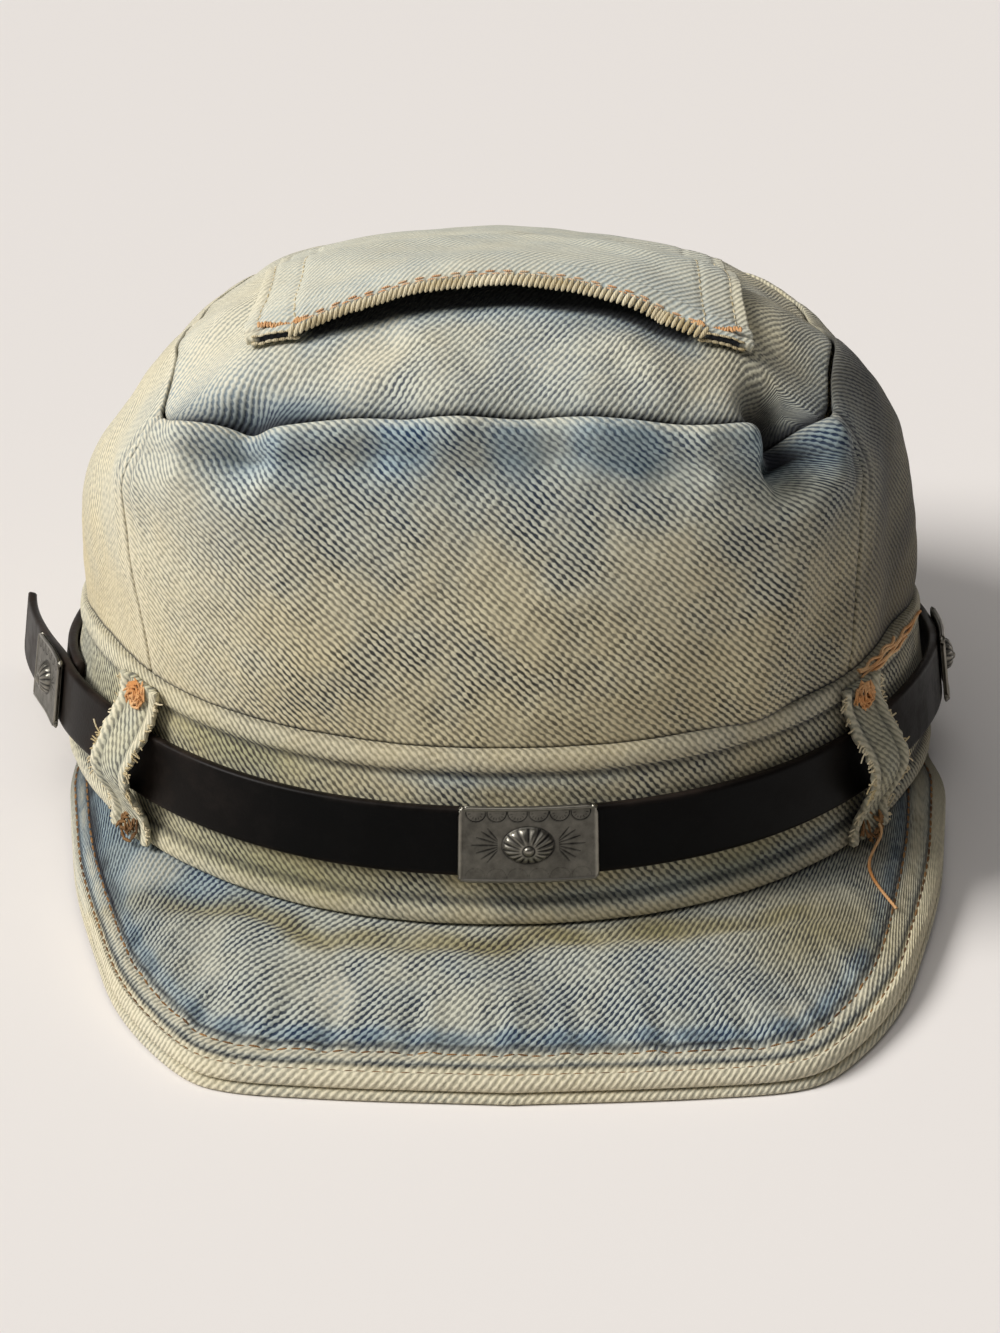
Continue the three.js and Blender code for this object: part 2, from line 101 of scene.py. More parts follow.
# level, band, crown, tip, lift, sway, width, front, back, fore, aft
RINGS = np.array([
    [0.0, 0, 0, 0, 1, 0, 1.0, 0.995, 1.0, 2.15, 2.1],
    [0.5, 0.5, 0, 0, 1, 0, 0.98, 0.965, 0.98, 2.15, 2.1],
    [1.0, 1, 0, 0, 1, 0, 0.95, 0.93, 0.95, 2.2, 2.1],
    [1.15, 1, 0.1, 0.0, 1, -0.004, 0.948, 0.925, 0.965, 2.3, 2.1],
    [1.35, 1, 0.235, 0.01, 1, -0.01, 0.938, 0.906, 0.97, 2.5, 2.1],
    [1.6, 1, 0.42, 0.04, 0.95, -0.016, 0.9, 0.88, 0.93, 3.1, 2.2],
    [1.85, 1, 0.57, 0.07, 0.85, -0.018, 0.832, 0.847, 0.85, 4.6, 2.4],
    [2.0, 1, 0.668, 0.1, 0.8, -0.016, 0.748, 0.823, 0.79, 6, 2.6],
    [2.15, 1, 0.76, 0.09, 0.75, -0.014, 0.63, 0.66, 0.67, 4.5, 2.5],
    [2.5, 1, 0.862, 0.072, 0.6, -0.01, 0.38, 0.42, 0.4, 3, 2.3],
    [2.75, 1, 0.912, 0.041, 0.3, -0.005, 0.19, 0.21, 0.2, 2.2, 2.1],
    [3.0, 1, 0.948, 0, 0, 0, 0, 0, 0, 2, 2],
])
# t, across, ahead, rise
RIM = np.array([
    [0.0, 0.0, 1.0, 0.0],
    [0.213, 0.4, 0.981, 0.0],
    [0.321, 0.6, 0.953, 0.0],
    [0.392, 0.7, 0.88, 0.01],
    [0.497, 0.805, 0.742, 0.04],
    [0.613, 0.872, 0.584, 0.09],
    [0.743, 0.933, 0.403, 0.16],
    [0.856, 0.965, 0.24, 0.23],
    [1.0, 1.0, 0.034, 0.3],
])
# turns, off, up
STRAP = np.array([
    [-0.29, 7.9, 0.36],
    [-0.25, 3.9, 0.43],
    [-0.211, 1.6, 0.49],
    [-0.18, 1.35, 0.5],
    [-0.145, 0.6, 0.5],
    [-0.08, 0.25, 0.5],
    [0.0, 0.2, 0.5],
    [0.15, 0.3, 0.5],
    [0.235, 0.8, 0.5],
    [0.3, 0.4, 0.5],
    [0.5, 0.2, 0.5],
    [0.7, 0.2, 0.5],
    [0.806, 0.2, 0.5],
])


def mix(a, b, t):
    return a + (b - a) * t


def smooth(x, low, high):
    """0 below low, 1 above high, and an even curve between."""
    t = np.clip((np.asarray(x, float) - low) / (high - low), 0, 1)
    return t * t * (3 - 2 * t)


def row_at(table, level):
    """The columns of a table at each level, on a smooth curve through its rows."""
    level = np.asarray(level, float)
    last = len(table) - 2
    i = np.clip(np.searchsorted(table[:, 0], level, side="right") - 1, 0, last)
    a, b = table[i], table[i + 1]
    before = table[np.maximum(i - 1, 0)]
    after = table[np.minimum(i + 2, last + 1)]
    span = (b[..., 0] - a[..., 0])[..., None]
    t = (level[..., None] - a[..., :1]) / span
    start = (b - before) / (b[..., :1] - before[..., :1])
    end = (after - a) / (after[..., :1] - a[..., :1])
    bend = t * t * (3 - 2 * t)
    return mix(a, b, bend) + span * start * t * (1 - t) ** 2 - span * end * t * t * (1 - t)


def plain(angle, level):
    """The cap without folds: angle from the brow towards +X, level from 0 at the foot to 3 at the top."""
    angle, level = np.broadcast_arrays(np.asarray(angle, float), np.asarray(level, float))
    _, band, crown, tip, lift, sway, width, front, back, fore, aft = np.moveaxis(
        row_at(RINGS, level), -1, 0
    )
    s, c = np.sin(angle), np.cos(angle)
    power = np.where(c > 0, fore, aft)
    size = (np.abs(s) ** power + np.abs(c) ** power) ** (1 / power)
    length = np.where(c > 0, front, back) * OPENING_LENGTH / 2
    height = band * BAND_HEIGHT + (crown + tip * c / size) * CROWN_HEIGHT
    height = height + lift * FRONT_LIFT * smooth(c, -0.35, 0.55)
    across = (sway + width * s / size) * OPENING_WIDTH / 2
    return np.stack([across, -length * c / size, height], -1)


def unit(v):
    return v / np.maximum(np.linalg.norm(v, axis=-1, keepdims=True), 1e-9)


def outward(surface, angle, level, step=0.01):
    """The direction out of a surface of angle and level."""
    round_ = surface(angle + step, level) - surface(angle - step, level)
    level = np.minimum(level, 3 - 2 * step)
    up = surface(angle, level + step) - surface(angle, level - step)
    out = unit(np.cross(round_, up))
    return np.where(np.asarray(level)[..., None] > 3 - 3 * step, np.array([0.0, 0.0, 1.0]), out)


# %% [markdown]
# ## Where the part's frame lies
#
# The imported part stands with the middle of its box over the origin. The rings are drawn round the middle of
# the head, so everything made from them is moved by one step, which the waistband's solid gives.


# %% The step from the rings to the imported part
def flat_out(angle):
    """The direction out of the band, level with the table."""
    out = outward(plain, angle, np.full_like(np.asarray(angle, float), 0.5))
    return unit(out * np.array([1.0, 1.0, 0.0]))


def band_core(angle, level):
    return plain(angle, level) + flat_out(angle) * BAND_STAND


nape = band_core(np.array(math.pi), np.array(0.2 * BAND_ROLL_HEIGHT / BAND_HEIGHT))
roll_there = BAND_ROLL * math.sqrt(1 - (2 * 0.2 - 1) ** 2)
band_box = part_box("waistband")
loop_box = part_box("belt_loop_back")
STEP = np.array([
    (loop_box[0][0] + loop_box[1][0]) / 2 / MM,
    band_box[1][1] / MM - nape[1] - roll_there,
    band_box[0][2] / MM,
])
print("rings to part, mm:", STEP.round(3))

# %% [markdown]
# ## Folds
#
# Cloth that is gathered into a seam makes dents and soft ridges. Each fold here is a line between two places
# on the crown, with a width and a rise in millimetres, and the crown is pushed out or in along it. The first
# rows are the solids' own folds, and the others are finer.

# %% Folds and ripples of the crown
HOLLOW = np.array([0.0, 0.0, BAND_HEIGHT + CROWN_HEIGHT / 3])
# degrees and level of each end, width, rise
FOLDS = [
    (45, 1.9, 33, 1.1, 7.65, 2.55),
    (38.5, 1.84, 41, 2.02, 6.8, -6.6),
    (40.5, 1.88, 42, 2.03, 3.6, -3.0),
    (36, 1.8, 37, 1.98, 2.6, 1.6),
    (40, 2, 30, 2, 13.6, -1.87),
    (-40, 2, -25, 2, 13.6, -2.55),
    (49, 2, 56, 2, 13.6, -2.55),
    (-49, 2, -56, 2, 13.6, -2.55),
    (-34, 1.9, -37, 2.02, 6.8, -4.25),
    (44, 1.8, 47, 1.98, 3.4, 2.0),
    (29, 1.84, 30, 1.99, 3.4, 1.3),
    (-29, 1.82, -30, 1.99, 3.6, 1.2),
    (-40, 1.82, -43, 1.98, 3.4, 1.2),
    (-17, 1.9, -17, 2.05, 4.5, -1.3),
    (8, 1.9, 7, 2.1, 4.5, -1.2),
    (23, 1.88, 22, 2.12, 4.0, -1.5),
    (-5, 1.93, -5, 2.05, 4.0, 0.9),
    (15, 1.92, 15, 2.06, 3.5, 0.9),
    (-12, 1.62, 20, 1.5, 16.0, -0.9),
    (-33, 1.75, -22, 1.3, 10.0, 0.8),
    (60, 1.8, 64, 1.1, 9.0, -1.6),
    (72, 1.9, 78, 1.2, 9.0, 1.2),
    (-62, 1.85, -60, 1.15, 9.0, -1.0),
    (-95, 1.8, -100, 1.1, 10.0, -1.4),
    (95, 1.8, 104, 1.1, 10.0, -1.6),
    (125, 1.85, 133, 1.1, 10.0, 1.4),
    (-128, 1.85, -135, 1.1, 10.0, 1.4),
    (150, 1.8, 155, 1.05, 9.0, -1.8),
    (-158, 1.8, -163, 1.05, 9.0, -1.8),
    (-30, 2.08, -22, 2.2, 6.0, -1.4),
    (-8, 2.06, -14, 2.24, 5.0, 0.9),
    (26, 2.06, 24, 2.2, 5.0, 1.2),
    (36, 2.1, 33, 2.24, 5.0, -1.6),
    (14, 2.05, 10, 2.2, 5.5, -0.9),
    (-40, 2.12, -44, 2.3, 7.0, 1.1),
]
lines = [
    (plain(math.radians(a), l), plain(math.radians(b), m), width, rise)
    for a, l, b, m, width, rise in FOLDS
]


def fold_rise(points):
    """How far the folds push the crown out at each point."""
    total = np.zeros(points.shape[:-1])
    for start, end, width, rise in lines:
        along = end - start
        t = np.clip(((points - start) @ along) / (along @ along), 0, 1)
        away = np.linalg.norm(points - start - t[..., None] * along, axis=-1)
        total += rise * np.exp(-((away / width) ** 2))
    return total


def ripple(points, size, seed):
    """A soft uneven swell of about -1 to 1, with waves of about the given size."""
    rng = np.random.default_rng(seed)
    total = np.zeros(points.shape[:-1])
    for _ in range(7):
        way = rng.normal(size=3)
        way /= np.linalg.norm(way)
        wave = 2 * math.pi / (size * rng.uniform(0.7, 1.6))
        total += np.sin(points @ way * wave + rng.uniform(0, 6.3))
    return total / 4


# Where the top seam is drawn down: degrees of the middle, half width, half height, depth
SINKS = [
    (41.5, 4.6, 10.5, 9.0),
    (30, 12.0, 13.0, 2.6),
    (-34, 12.0, 13.0, 3.2),
    (-35, 4.0, 7.0, 2.0),
    (4, 6.0, 9.0, 0.9),
    (-13, 5.0, 8.0, 0.8),
]
INTO_CROWN = unit(np.array([-0.1, 0.45, -0.9]))


def sink(points):
    """How far the seam's gathers draw each point down into the crown."""
    total = np.zeros(points.shape)
    for degrees, wide, high, depth in SINKS:
        turn = math.radians(degrees)
        away = points - plain(turn, 2.0)
        along = unit(plain(turn + 0.02, 2.0) - plain(turn - 0.02, 2.0))
        side = away @ along
        rest = np.linalg.norm(away - side[..., None] * along, axis=-1)
        share = depth * np.exp(-((side / wide) ** 2) - (rest / high) ** 2)
        total = total + share[..., None] * INTO_CROWN
    return total


def settle(points, angle, level):
    """How the worn crown leans in at its upper left, and how its corners and top have sunk."""
    angle, level = np.broadcast_arrays(angle, level)
    turn = np.degrees(np.arctan2(np.sin(angle), np.cos(angle)))
    x = points[..., 0]
    left = smooth(turn, -46, -66) * smooth(turn, -178, -145) * smooth(-x, 40, 62)
    right = smooth(turn, 46, 66) * smooth(turn, 178, 145) * smooth(x, 40, 62)
    corner = np.exp(-(((np.abs(turn) - 51) / 9) ** 2) - ((level - 2) / 0.28) ** 2)
    shift = np.zeros(points.shape)
    shift[..., 0] = 5.8 * left * smooth(level, 1.42, 1.82) - 2.5 * right * smooth(level, 1.85, 2.1)
    shift[..., 2] = -2.2 * smooth(level, 1.95, 2.35) - 5.0 * corner
    return shift


def crown(angle, level):
    """The crown with its folds."""
    points = plain(angle, level)
    away = unit(points - HOLLOW)
    rise = fold_rise(points) + 0.35 * ripple(points, 26, 4)
    return points + away * rise[..., None] + sink(points) + settle(points, angle, level)


# %% [markdown]
# ## How a sheet of cloth is made
#
# A sheet starts as a flat grid. Each of its points is moved to its place on the cap, the grid keeps the cloth's
# own lengths as its UV map, so that the twill has one size everywhere, and masks such as "worn" are kept as
# attributes for the material. Solidify then gives the cloth its wall.


# %% Sheets
def ride(piece, slot, *nodes):
    """Puts a piece on the cap's one body, in place of some solids. Its slot argument is not used."""
    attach(piece, "root")
    if nodes:
        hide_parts(*nodes)


def add_piece(name, mesh, material):
    piece = bpy.data.objects.new(name, mesh)
    bpy.context.scene.collection.objects.link(piece)
    if material:
        mesh.materials.append(material)
    return piece


def sheet(name, columns, rows, place, material, wall=0.0, closed=False, marks=None, up=None):
    """A grid whose points go to place(u, v), in millimetres, with u and v from 0 to 1.

    closed merges edges that meet and fills what stays open. up is the way its middle faces, and if it isn't
    given, that is out of the cap. wall is the thickness that Solidify adds on the other side.
    """
    bm = bmesh.new()
    bmesh.ops.create_grid(bm, x_segments=columns, y_segments=rows, size=1)
    mesh = bpy.data.meshes.new(name)
    bm.to_mesh(mesh)
    bm.free()
    flat = np.empty(len(mesh.vertices) * 3)
    mesh.vertices.foreach_get("co", flat)
    column = np.rint((flat[0::3] + 1) / 2 * columns).astype(int)
    row = np.rint((flat[1::3] + 1) / 2 * rows).astype(int)
    u, v = np.meshgrid(np.linspace(0, 1, columns + 1), np.linspace(0, 1, rows + 1))
    points = place(u, v)
    mesh.vertices.foreach_set("co", ((points + STEP) * MM)[row, column].ravel())
    across = np.linalg.norm(np.diff(points, axis=1, prepend=points[:, :1]), axis=-1).cumsum(axis=1)
    across -= across[:, columns // 2 : columns // 2 + 1]
    high = np.linalg.norm(np.diff(points, axis=0, prepend=points[:1]), axis=-1).cumsum(axis=0)
    lengths = np.stack([across, high], -1) * MM
    for mark, values in (marks(u, v, points) if marks else {}).items():
        values = np.broadcast_to(values, u.shape)
        layer = mesh.attributes.new(mark, "FLOAT", "POINT")
        layer.data.foreach_set("value", np.clip(values[row, column], 0, 1).astype(np.float32))
    corners = np.empty(len(mesh.loops), dtype=np.int32)
    mesh.loops.foreach_get("vertex_index", corners)
    uv = mesh.uv_layers.new(name="cloth")
    uv.data.foreach_set("uv", lengths[row, column][corners].astype(np.float32).ravel())
    bm = bmesh.new()
    bm.from_mesh(mesh)
    if closed:
        bmesh.ops.remove_doubles(bm, verts=bm.verts, dist=1e-6)
        edges = [edge for edge in bm.edges if edge.is_boundary]
        if edges:
            bmesh.ops.holes_fill(bm, edges=edges, sides=0)
        bmesh.ops.recalc_face_normals(bm, faces=bm.faces)
    else:
        i, j = rows // 2, columns // 2
        facing = np.cross(points[i, j + 1] - points[i, j], points[i + 1, j] - points[i, j])
        if facing @ (points[i, j] - HOLLOW if up is None else np.array(up)) < 0:
            bmesh.ops.reverse_faces(bm, faces=bm.faces)
    for face in bm.faces:
        face.smooth = True
    bm.to_mesh(mesh)
    bm.free()
    piece = add_piece(name, mesh, material)
    if wall:
        thick = piece.modifiers.new("wall", "SOLIDIFY")
        thick.thickness = wall * MM
        thick.offset = -1
    print(name, "points:", len(mesh.vertices))
    return piece


# %% [markdown]
# ## Denim
#
# Twill shows as slanting ridges about a millimetre apart, with pale yarn on the ridges and the dye left between
# them. One node group draws it in the cloth's own lengths. Masks that each piece carries say where the cloth
# is worn, still blue, stained or in a seam, and also hold painted light: the dark mask is mostly painted shade,
# on the side away from the light and in dents, grooves and gaps, and the worn mask is partly a painted highlight.


# %% Small helpers for nodes
def paint(red, green, blue):
    """A colour as it shows on a screen, 0 to 255, as the numbers that a shader takes."""
    def linear(value):
        value /= 255
        return value / 12.92 if value <= 0.04045 else ((value + 0.055) / 1.055) ** 2.4

    return (linear(red), linear(green), linear(blue), 1.0)


def put(tree, kind, inputs=None, **settings):
    """A node with its settings, and its inputs linked or set."""
    node = tree.nodes.new(kind)
    for key, value in settings.items():
        setattr(node, key, value)
    for key, value in (inputs or {}).items():
        if isinstance(value, bpy.types.NodeSocket):
            tree.links.new(value, node.inputs[key])
        else:
            node.inputs[key].default_value = value
    return node


def calc(tree, operation, a, b=0.0, c=0.0, clamp=False):
    return put(tree, "ShaderNodeMath", {0: a, 1: b, 2: c}, operation=operation, use_clamp=clamp).outputs[0]


def tint(tree, share, a, b, how="MIX"):
    """Colour a turning into colour b by a share."""
    node = put(tree, "ShaderNodeMix", {0: share, 6: a, 7: b}, data_type="RGBA", blend_type=how)
    return node.outputs[2]


def noise(tree, vector, scale, detail=2.0, rough=0.5, low=0.0, high=1.0):
    """Noise, stretched so that low becomes 0 and high becomes 1."""
    value = put(
        tree,
        "ShaderNodeTexNoise",
        {"Vector": vector, "Scale": scale, "Detail": detail, "Roughness": rough},
    ).outputs[0]
    return spread(tree, value, low, high)


def spread(tree, value, low, high, start=0.0, end=1.0):
    node = put(tree, "ShaderNodeMapRange", {0: value, 1: low, 2: high, 3: start, 4: end}, clamp=True)
    return node.outputs[0]


# %% The twill as a node group
WALES = 900.0
FLOATS = 560.0
LIGHT = paint(234, 230, 206)
KHAKI = paint(208, 192, 148)
PALE_BLUE = paint(158, 184, 196)
GREY = paint(58, 62, 58)
NAVY = paint(26, 52, 84)
BROWN = paint(72, 64, 42)
OLIVE = paint(142, 142, 88)
DEEP = paint(12, 16, 26)
CREAM = paint(236, 228, 204)


def twill_group():
    group = bpy.data.node_groups.new("denim twill", "ShaderNodeTree")
    inputs = (
        ("Cloth", "NodeSocketVector"),
        ("Place", "NodeSocketVector"),
        ("Lean", "NodeSocketFloat"),
        ("Contrast", "NodeSocketFloat"),
        ("Blue", "NodeSocketFloat"),
        ("Khaki", "NodeSocketFloat"),
        ("Green", "NodeSocketFloat"),
        ("Worn", "NodeSocketFloat"),
        ("Dark", "NodeSocketFloat"),
    )
    for name, kind in inputs:
        group.interface.new_socket(name, in_out="INPUT", socket_type=kind)
    for name, kind in (("Colour", "NodeSocketColor"), ("Height", "NodeSocketFloat")):
        group.interface.new_socket(name, in_out="OUTPUT", socket_type=kind)
    given = group.nodes.new("NodeGroupInput").outputs
    cloth, place = given["Cloth"], given["Place"]
    apart = put(group, "ShaderNodeSeparateXYZ", {0: cloth}).outputs
    wander = calc(group, "SUBTRACT", noise(group, cloth, 260, 2), 0.5)
    sine, cosine = calc(group, "SINE", given["Lean"]), calc(group, "COSINE", given["Lean"])
    across = calc(group, "MULTIPLY_ADD", apart[1], cosine, calc(group, "MULTIPLY", apart[0], sine))
    across = calc(group, "MULTIPLY_ADD", across, WALES, calc(group, "MULTIPLY", wander, 0.45))
    down = calc(group, "MULTIPLY", apart[1], sine)
    along = calc(group, "SUBTRACT", calc(group, "MULTIPLY", apart[0], cosine), down)
    rib = calc(group, "SINE", calc(group, "MULTIPLY", across, 2 * math.pi))
    wale = calc(group, "FLOOR", calc(group, "ADD", across, 0.25))
    chance = put(group, "ShaderNodeTexWhiteNoise", {"W": wale}, noise_dimensions="1D").outputs[0]
    step = calc(group, "MULTIPLY_ADD", along, 2 * math.pi * FLOATS, calc(group, "MULTIPLY", chance, 6.3))
    rope = calc(group, "SINE", step)
    ridge = calc(group, "MULTIPLY_ADD", rope, 0.42, rib)
    slub = noise(group, cloth, 900, 3, 0.6, 0.3, 0.7)
    ridge = calc(group, "MULTIPLY_ADD", calc(group, "SUBTRACT", slub, 0.5), 1.25, ridge)
    valley = spread(group, ridge, 0.4, -0.6)
    patch = noise(group, place, 55, 3, 0.6, 0.36, 0.64)
    small = noise(group, place, 190, 2, 0.6, 0.32, 0.68)
    strength = calc(group, "MULTIPLY_ADD", patch, 0.3, calc(group, "MULTIPLY_ADD", small, 0.25, 0.55))
    strength = calc(group, "MULTIPLY", strength, given["Contrast"])
    kept = calc(group, "MULTIPLY_ADD", given["Worn"], -0.6, 1.0)
    strength = calc(group, "MULTIPLY", strength, kept)
    dye = calc(group, "MULTIPLY", valley, strength, clamp=True)
    blue = calc(group, "MULTIPLY_ADD", calc(group, "SUBTRACT", patch, 0.5), 0.3, given["Blue"], clamp=True)
    khaki = calc(
        group, "MULTIPLY_ADD", noise(group, place, 38, 4, 0.6, 0.35, 0.65), 0.2,
        calc(group, "SUBTRACT", given["Khaki"], 0.1), clamp=True,
    )
    pale = tint(group, khaki, LIGHT, KHAKI)
    pale = tint(group, calc(group, "MULTIPLY", blue, 0.85), pale, PALE_BLUE)
    dark = tint(group, khaki, GREY, BROWN)
    dark = tint(group, blue, dark, NAVY)
    colour = tint(group, dye, pale, dark)
    green = calc(group, "MULTIPLY", given["Green"], 0.75)
    colour = tint(group, green, colour, tint(group, dye, OLIVE, BROWN))
    # Worn turns the ridges pale: real wear, and over the lit left side a painted highlight.
    bare = calc(group, "MULTIPLY", given["Worn"], spread(group, ridge, -1.0, 0.8, 0.1, 0.9))
    colour = tint(group, bare, colour, tint(group, calc(group, "MULTIPLY", khaki, 0.4), CREAM, KHAKI))
    # Dark turns the colour towards DEEP: mostly painted shade, with some dark seam lines and stains.
    colour = tint(group, given["Dark"], colour, DEEP)
    hazy = calc(group, "MULTIPLY_ADD", rope, 0.12, calc(group, "MULTIPLY", slub, 0.5))
    height = calc(group, "MULTIPLY_ADD", rib, 0.5, hazy)
    out = group.nodes.new("NodeGroupOutput")
    group.links.new(colour, out.inputs["Colour"])
    group.links.new(height, out.inputs["Height"])
    print("twill nodes:", len(group.nodes))
    return group


TWILL = twill_group()


# %% Denim materials
def denim(name, lean, contrast=1.0, relief=0.16):
    """Denim whose twill leans by degrees from level: down to the right if more than 0, else up."""
    material = bpy.data.materials.new(name)
    material.use_nodes = True
    tree = material.node_tree
    tree.nodes.clear()
    cloth = put(tree, "ShaderNodeUVMap", uv_map="cloth").outputs[0]
    place = put(tree, "ShaderNodeTexCoord").outputs["Object"]
    masks = {
        mark: put(tree, "ShaderNodeAttribute", attribute_name=mark.lower()).outputs["Fac"]
        for mark in ("Blue", "Khaki", "Green", "Worn", "Dark")
    }
    twill = put(
        tree,
        "ShaderNodeGroup",
        node_tree=TWILL,
    )
    given = {"Cloth": cloth, "Place": place, "Lean": math.radians(lean), "Contrast": contrast, **masks}
    for key, value in given.items():
        if isinstance(value, bpy.types.NodeSocket):
            tree.links.new(value, twill.inputs[key])
        else:
            twill.inputs[key].default_value = value
    bump = put(
        tree,
        "ShaderNodeBump",
        {"Height": twill.outputs["Height"], "Distance": relief * MM, "Strength": 1.0},
    ).outputs[0]
    rough = noise(tree, place, 300, 2, 0.5, 0.2, 0.8)
    shader = put(
        tree,
        "ShaderNodeBsdfPrincipled",
        {
            "Base Color": twill.outputs["Colour"],
            "Roughness": spread(tree, rough, 0, 1, 0.82, 0.98),
            "Normal": bump,
        },
    )
    shader.inputs["Sheen Weight"].default_value = 0.12
    shader.inputs["Sheen Roughness"].default_value = 0.6
    shader.inputs["Specular IOR Level"].default_value = 0.25
    out = tree.nodes.new("ShaderNodeOutputMaterial")
    tree.links.new(shader.outputs[0], out.inputs[0])
    return material


crown_cloth = denim("washed denim, crown", 44, 1.0)
top_cloth = denim("washed denim, top", -60, 1.05)
band_cloth = denim("washed denim, band", 48, 1.0)
peak_cloth = denim("washed denim, peak", 50, 1.1)
pocket_cloth = denim("washed denim, pocket", -60, 0.42)
loop_cloth = denim("washed denim, loops", 50, 0.8)

# %% [markdown]
# ## The crown
#
# Three panels stand on the band and one closes the top. The front panel's upper edge is turned in and stitched
# over the top panel, so it stands up as a pale roll, with a groove beside it whose shade is painted dark.

# %% The crown's panels
LEVEL_LENGTH = np.linalg.norm(plain(0.0, 2.01) - plain(0.0, 1.99)) / 0.02
ROLL_WIDTH = 1.4
TOP_SEAM = 2 - 0.3 / LEVEL_LENGTH


def pull(v, power):
    """Draws even steps from 0 to 1 closer together towards 1."""
    return 1 - (1 - v) ** power


def spot(angle, level, at, up, wide, high):
    """A soft spot of 1 at an angle in degrees and a level."""
    turn = np.degrees(angle) - at
    return np.exp(-((turn / wide) ** 2) - ((level - up) / high) ** 2)


def panel(name, start, end, columns, rows, node, roll):
    def grid(u, v):
        return mix(start, end, u), mix(1.0, TOP_SEAM, pull(v, 1.5))

    def place(u, v):
        angle, level = grid(u, v)
        points = crown(angle, level)
        to_top = (2 - level) * LEVEL_LENGTH
        to_side = np.minimum(angle - start, end - angle) * OPENING_WIDTH / 2
        hem = np.clip(to_top / ROLL_WIDTH, 0, 1)
        rise = roll * np.sqrt(np.clip(1 - (1 - hem) ** 2, 0, 1)) * smooth(to_top, 9, 1.5)
        corner = smooth(level, 1.2, 1.9)
        fell = 0.5 * np.exp(-(((to_side - 1.4) / 0.9) ** 2)) + 0.45 * np.exp(-(((to_side - 4.6) / 1.0) ** 2))
        rise = rise + fell * (0.35 + 0.65 * corner) + 0.12 * ripple(points, 7, 9)
        return points + outward(plain, angle, level) * rise[..., None]

    def marks(u, v, points):
        angle, level = grid(u, v)
        to_top = (2 - level) * LEVEL_LENGTH
        to_side = np.minimum(angle - start, end - angle) * OPENING_WIDTH / 2
        front = np.cos(angle)
        low = smooth(level, 1.75, 1.1)
        blue = 0.2 + 0.36 * smooth(level, 1.55, 1.95) * smooth(front, 0.2, 0.8)
        blue = blue - 0.25 * low
        # Bluer, darker spots at the dents along the top seam: painted shade.
        for at, wide in ((-33, 6), (-13, 5), (4, 4), (15, 5), (21, 4), (41, 7)):
            blue = blue + 0.6 * spot(angle, level, at, 1.93, wide, 0.09)
        khaki = 0.26 + 0.42 * low + 0.35 * smooth(front, 0.8, 0.3)
        # Painted shade in the groove along the top seam, and in the deep dent at 41.5 degrees.
        seam_gap_shade = 0.75 if roll > 1 else 0.15
        dark = 0.9 * spot(angle, level, 41.5, 1.955, 2.5, 0.075) + seam_gap_shade * smooth(to_top, 0.5, 0.1)
        dark = dark + 0.35 * np.exp(-(((to_side - 3.0) / 0.5) ** 2)) * smooth(level, 1.4, 1.9)
        # Painted shade over the right side, which faces away from the light.
        shade = smooth(np.sin(angle), 0.45, 0.85) * smooth(np.cos(angle), -0.4, 0.25)
        dark = dark + 0.54 * shade * (0.8 + 0.2 * ripple(points, 16, 61))
        dark = dark + 0.36 * smooth(np.sin(angle), 0.72, 0.88) * smooth(np.cos(angle), 0.0, 0.35)
        # Painted shade along the crown's foot, where it meets the band behind its roll.
        dark = dark + 0.85 * smooth(level, 1.016, 1.006) + 0.05 * smooth(level, 1.06, 1.02)
        # Painted shade in the dent at -33 degrees, and below the pleat at the right.
        dark = dark + 0.35 * spot(angle, level, -33, 1.93, 3.0, 0.06)
        dark = dark + 0.2 * spot(angle, level, 45, 1.55, 7, 0.35)
        worn = 0.5 * smooth(to_top, 2.4, 0.8) + 0.3 * np.exp(-(((to_side - 1.4) / 0.9) ** 2))
        # A painted highlight over the left side, which faces the light.
        worn = worn + 0.7 * smooth(-np.sin(angle), 0.4, 0.85)
        return {"blue": blue, "khaki": khaki, "green": 0, "dark": dark, "worn": np.clip(worn, 0, 0.95)}

    piece = sheet(name, columns, rows, place, crown_cloth, wall=1.4, marks=marks)
    ride(piece, "crown_denim", node)
    return place


panel("front_panel", -SEAM + 0.002, SEAM - 0.002, 240, 120, "crown_front", 1.5)
panel("right_panel", SEAM + 0.002, math.pi - 0.002, 200, 80, "crown_side_right", 0.6)
panel("left_panel", math.pi + 0.002, 2 * math.pi - SEAM - 0.002, 200, 80, "crown_side_left", 0.3)

# %% The top panel
PLAN_ROWS = ([0, 0.255, 0.51, 0.802, 1], [3, 2.75, 2.5, 2.15, 2 + 0.3 / LEVEL_LENGTH])


def top_grid(u, v):
    """Squares inside each other become rings, so no point of the grid is crowded."""
    p, q = 2 * u - 1, 2 * v - 1
    r = np.maximum(np.abs(p), np.abs(q))
    return np.arctan2(p, -q), np.interp(r, *PLAN_ROWS)


def top_place(u, v):
    angle, level = top_grid(u, v)
    points = crown(angle, level)
    from_seam = (level - 2) * LEVEL_LENGTH
    ahead = smooth(np.abs(np.degrees(angle)), 60, 47)
    dip = (-0.05 - 0.75 * ahead) * np.exp(-((from_seam / 1.3) ** 2)) + 0.14 * ripple(points, 8, 12)
    return points + outward(plain, angle, level) * dip[..., None]


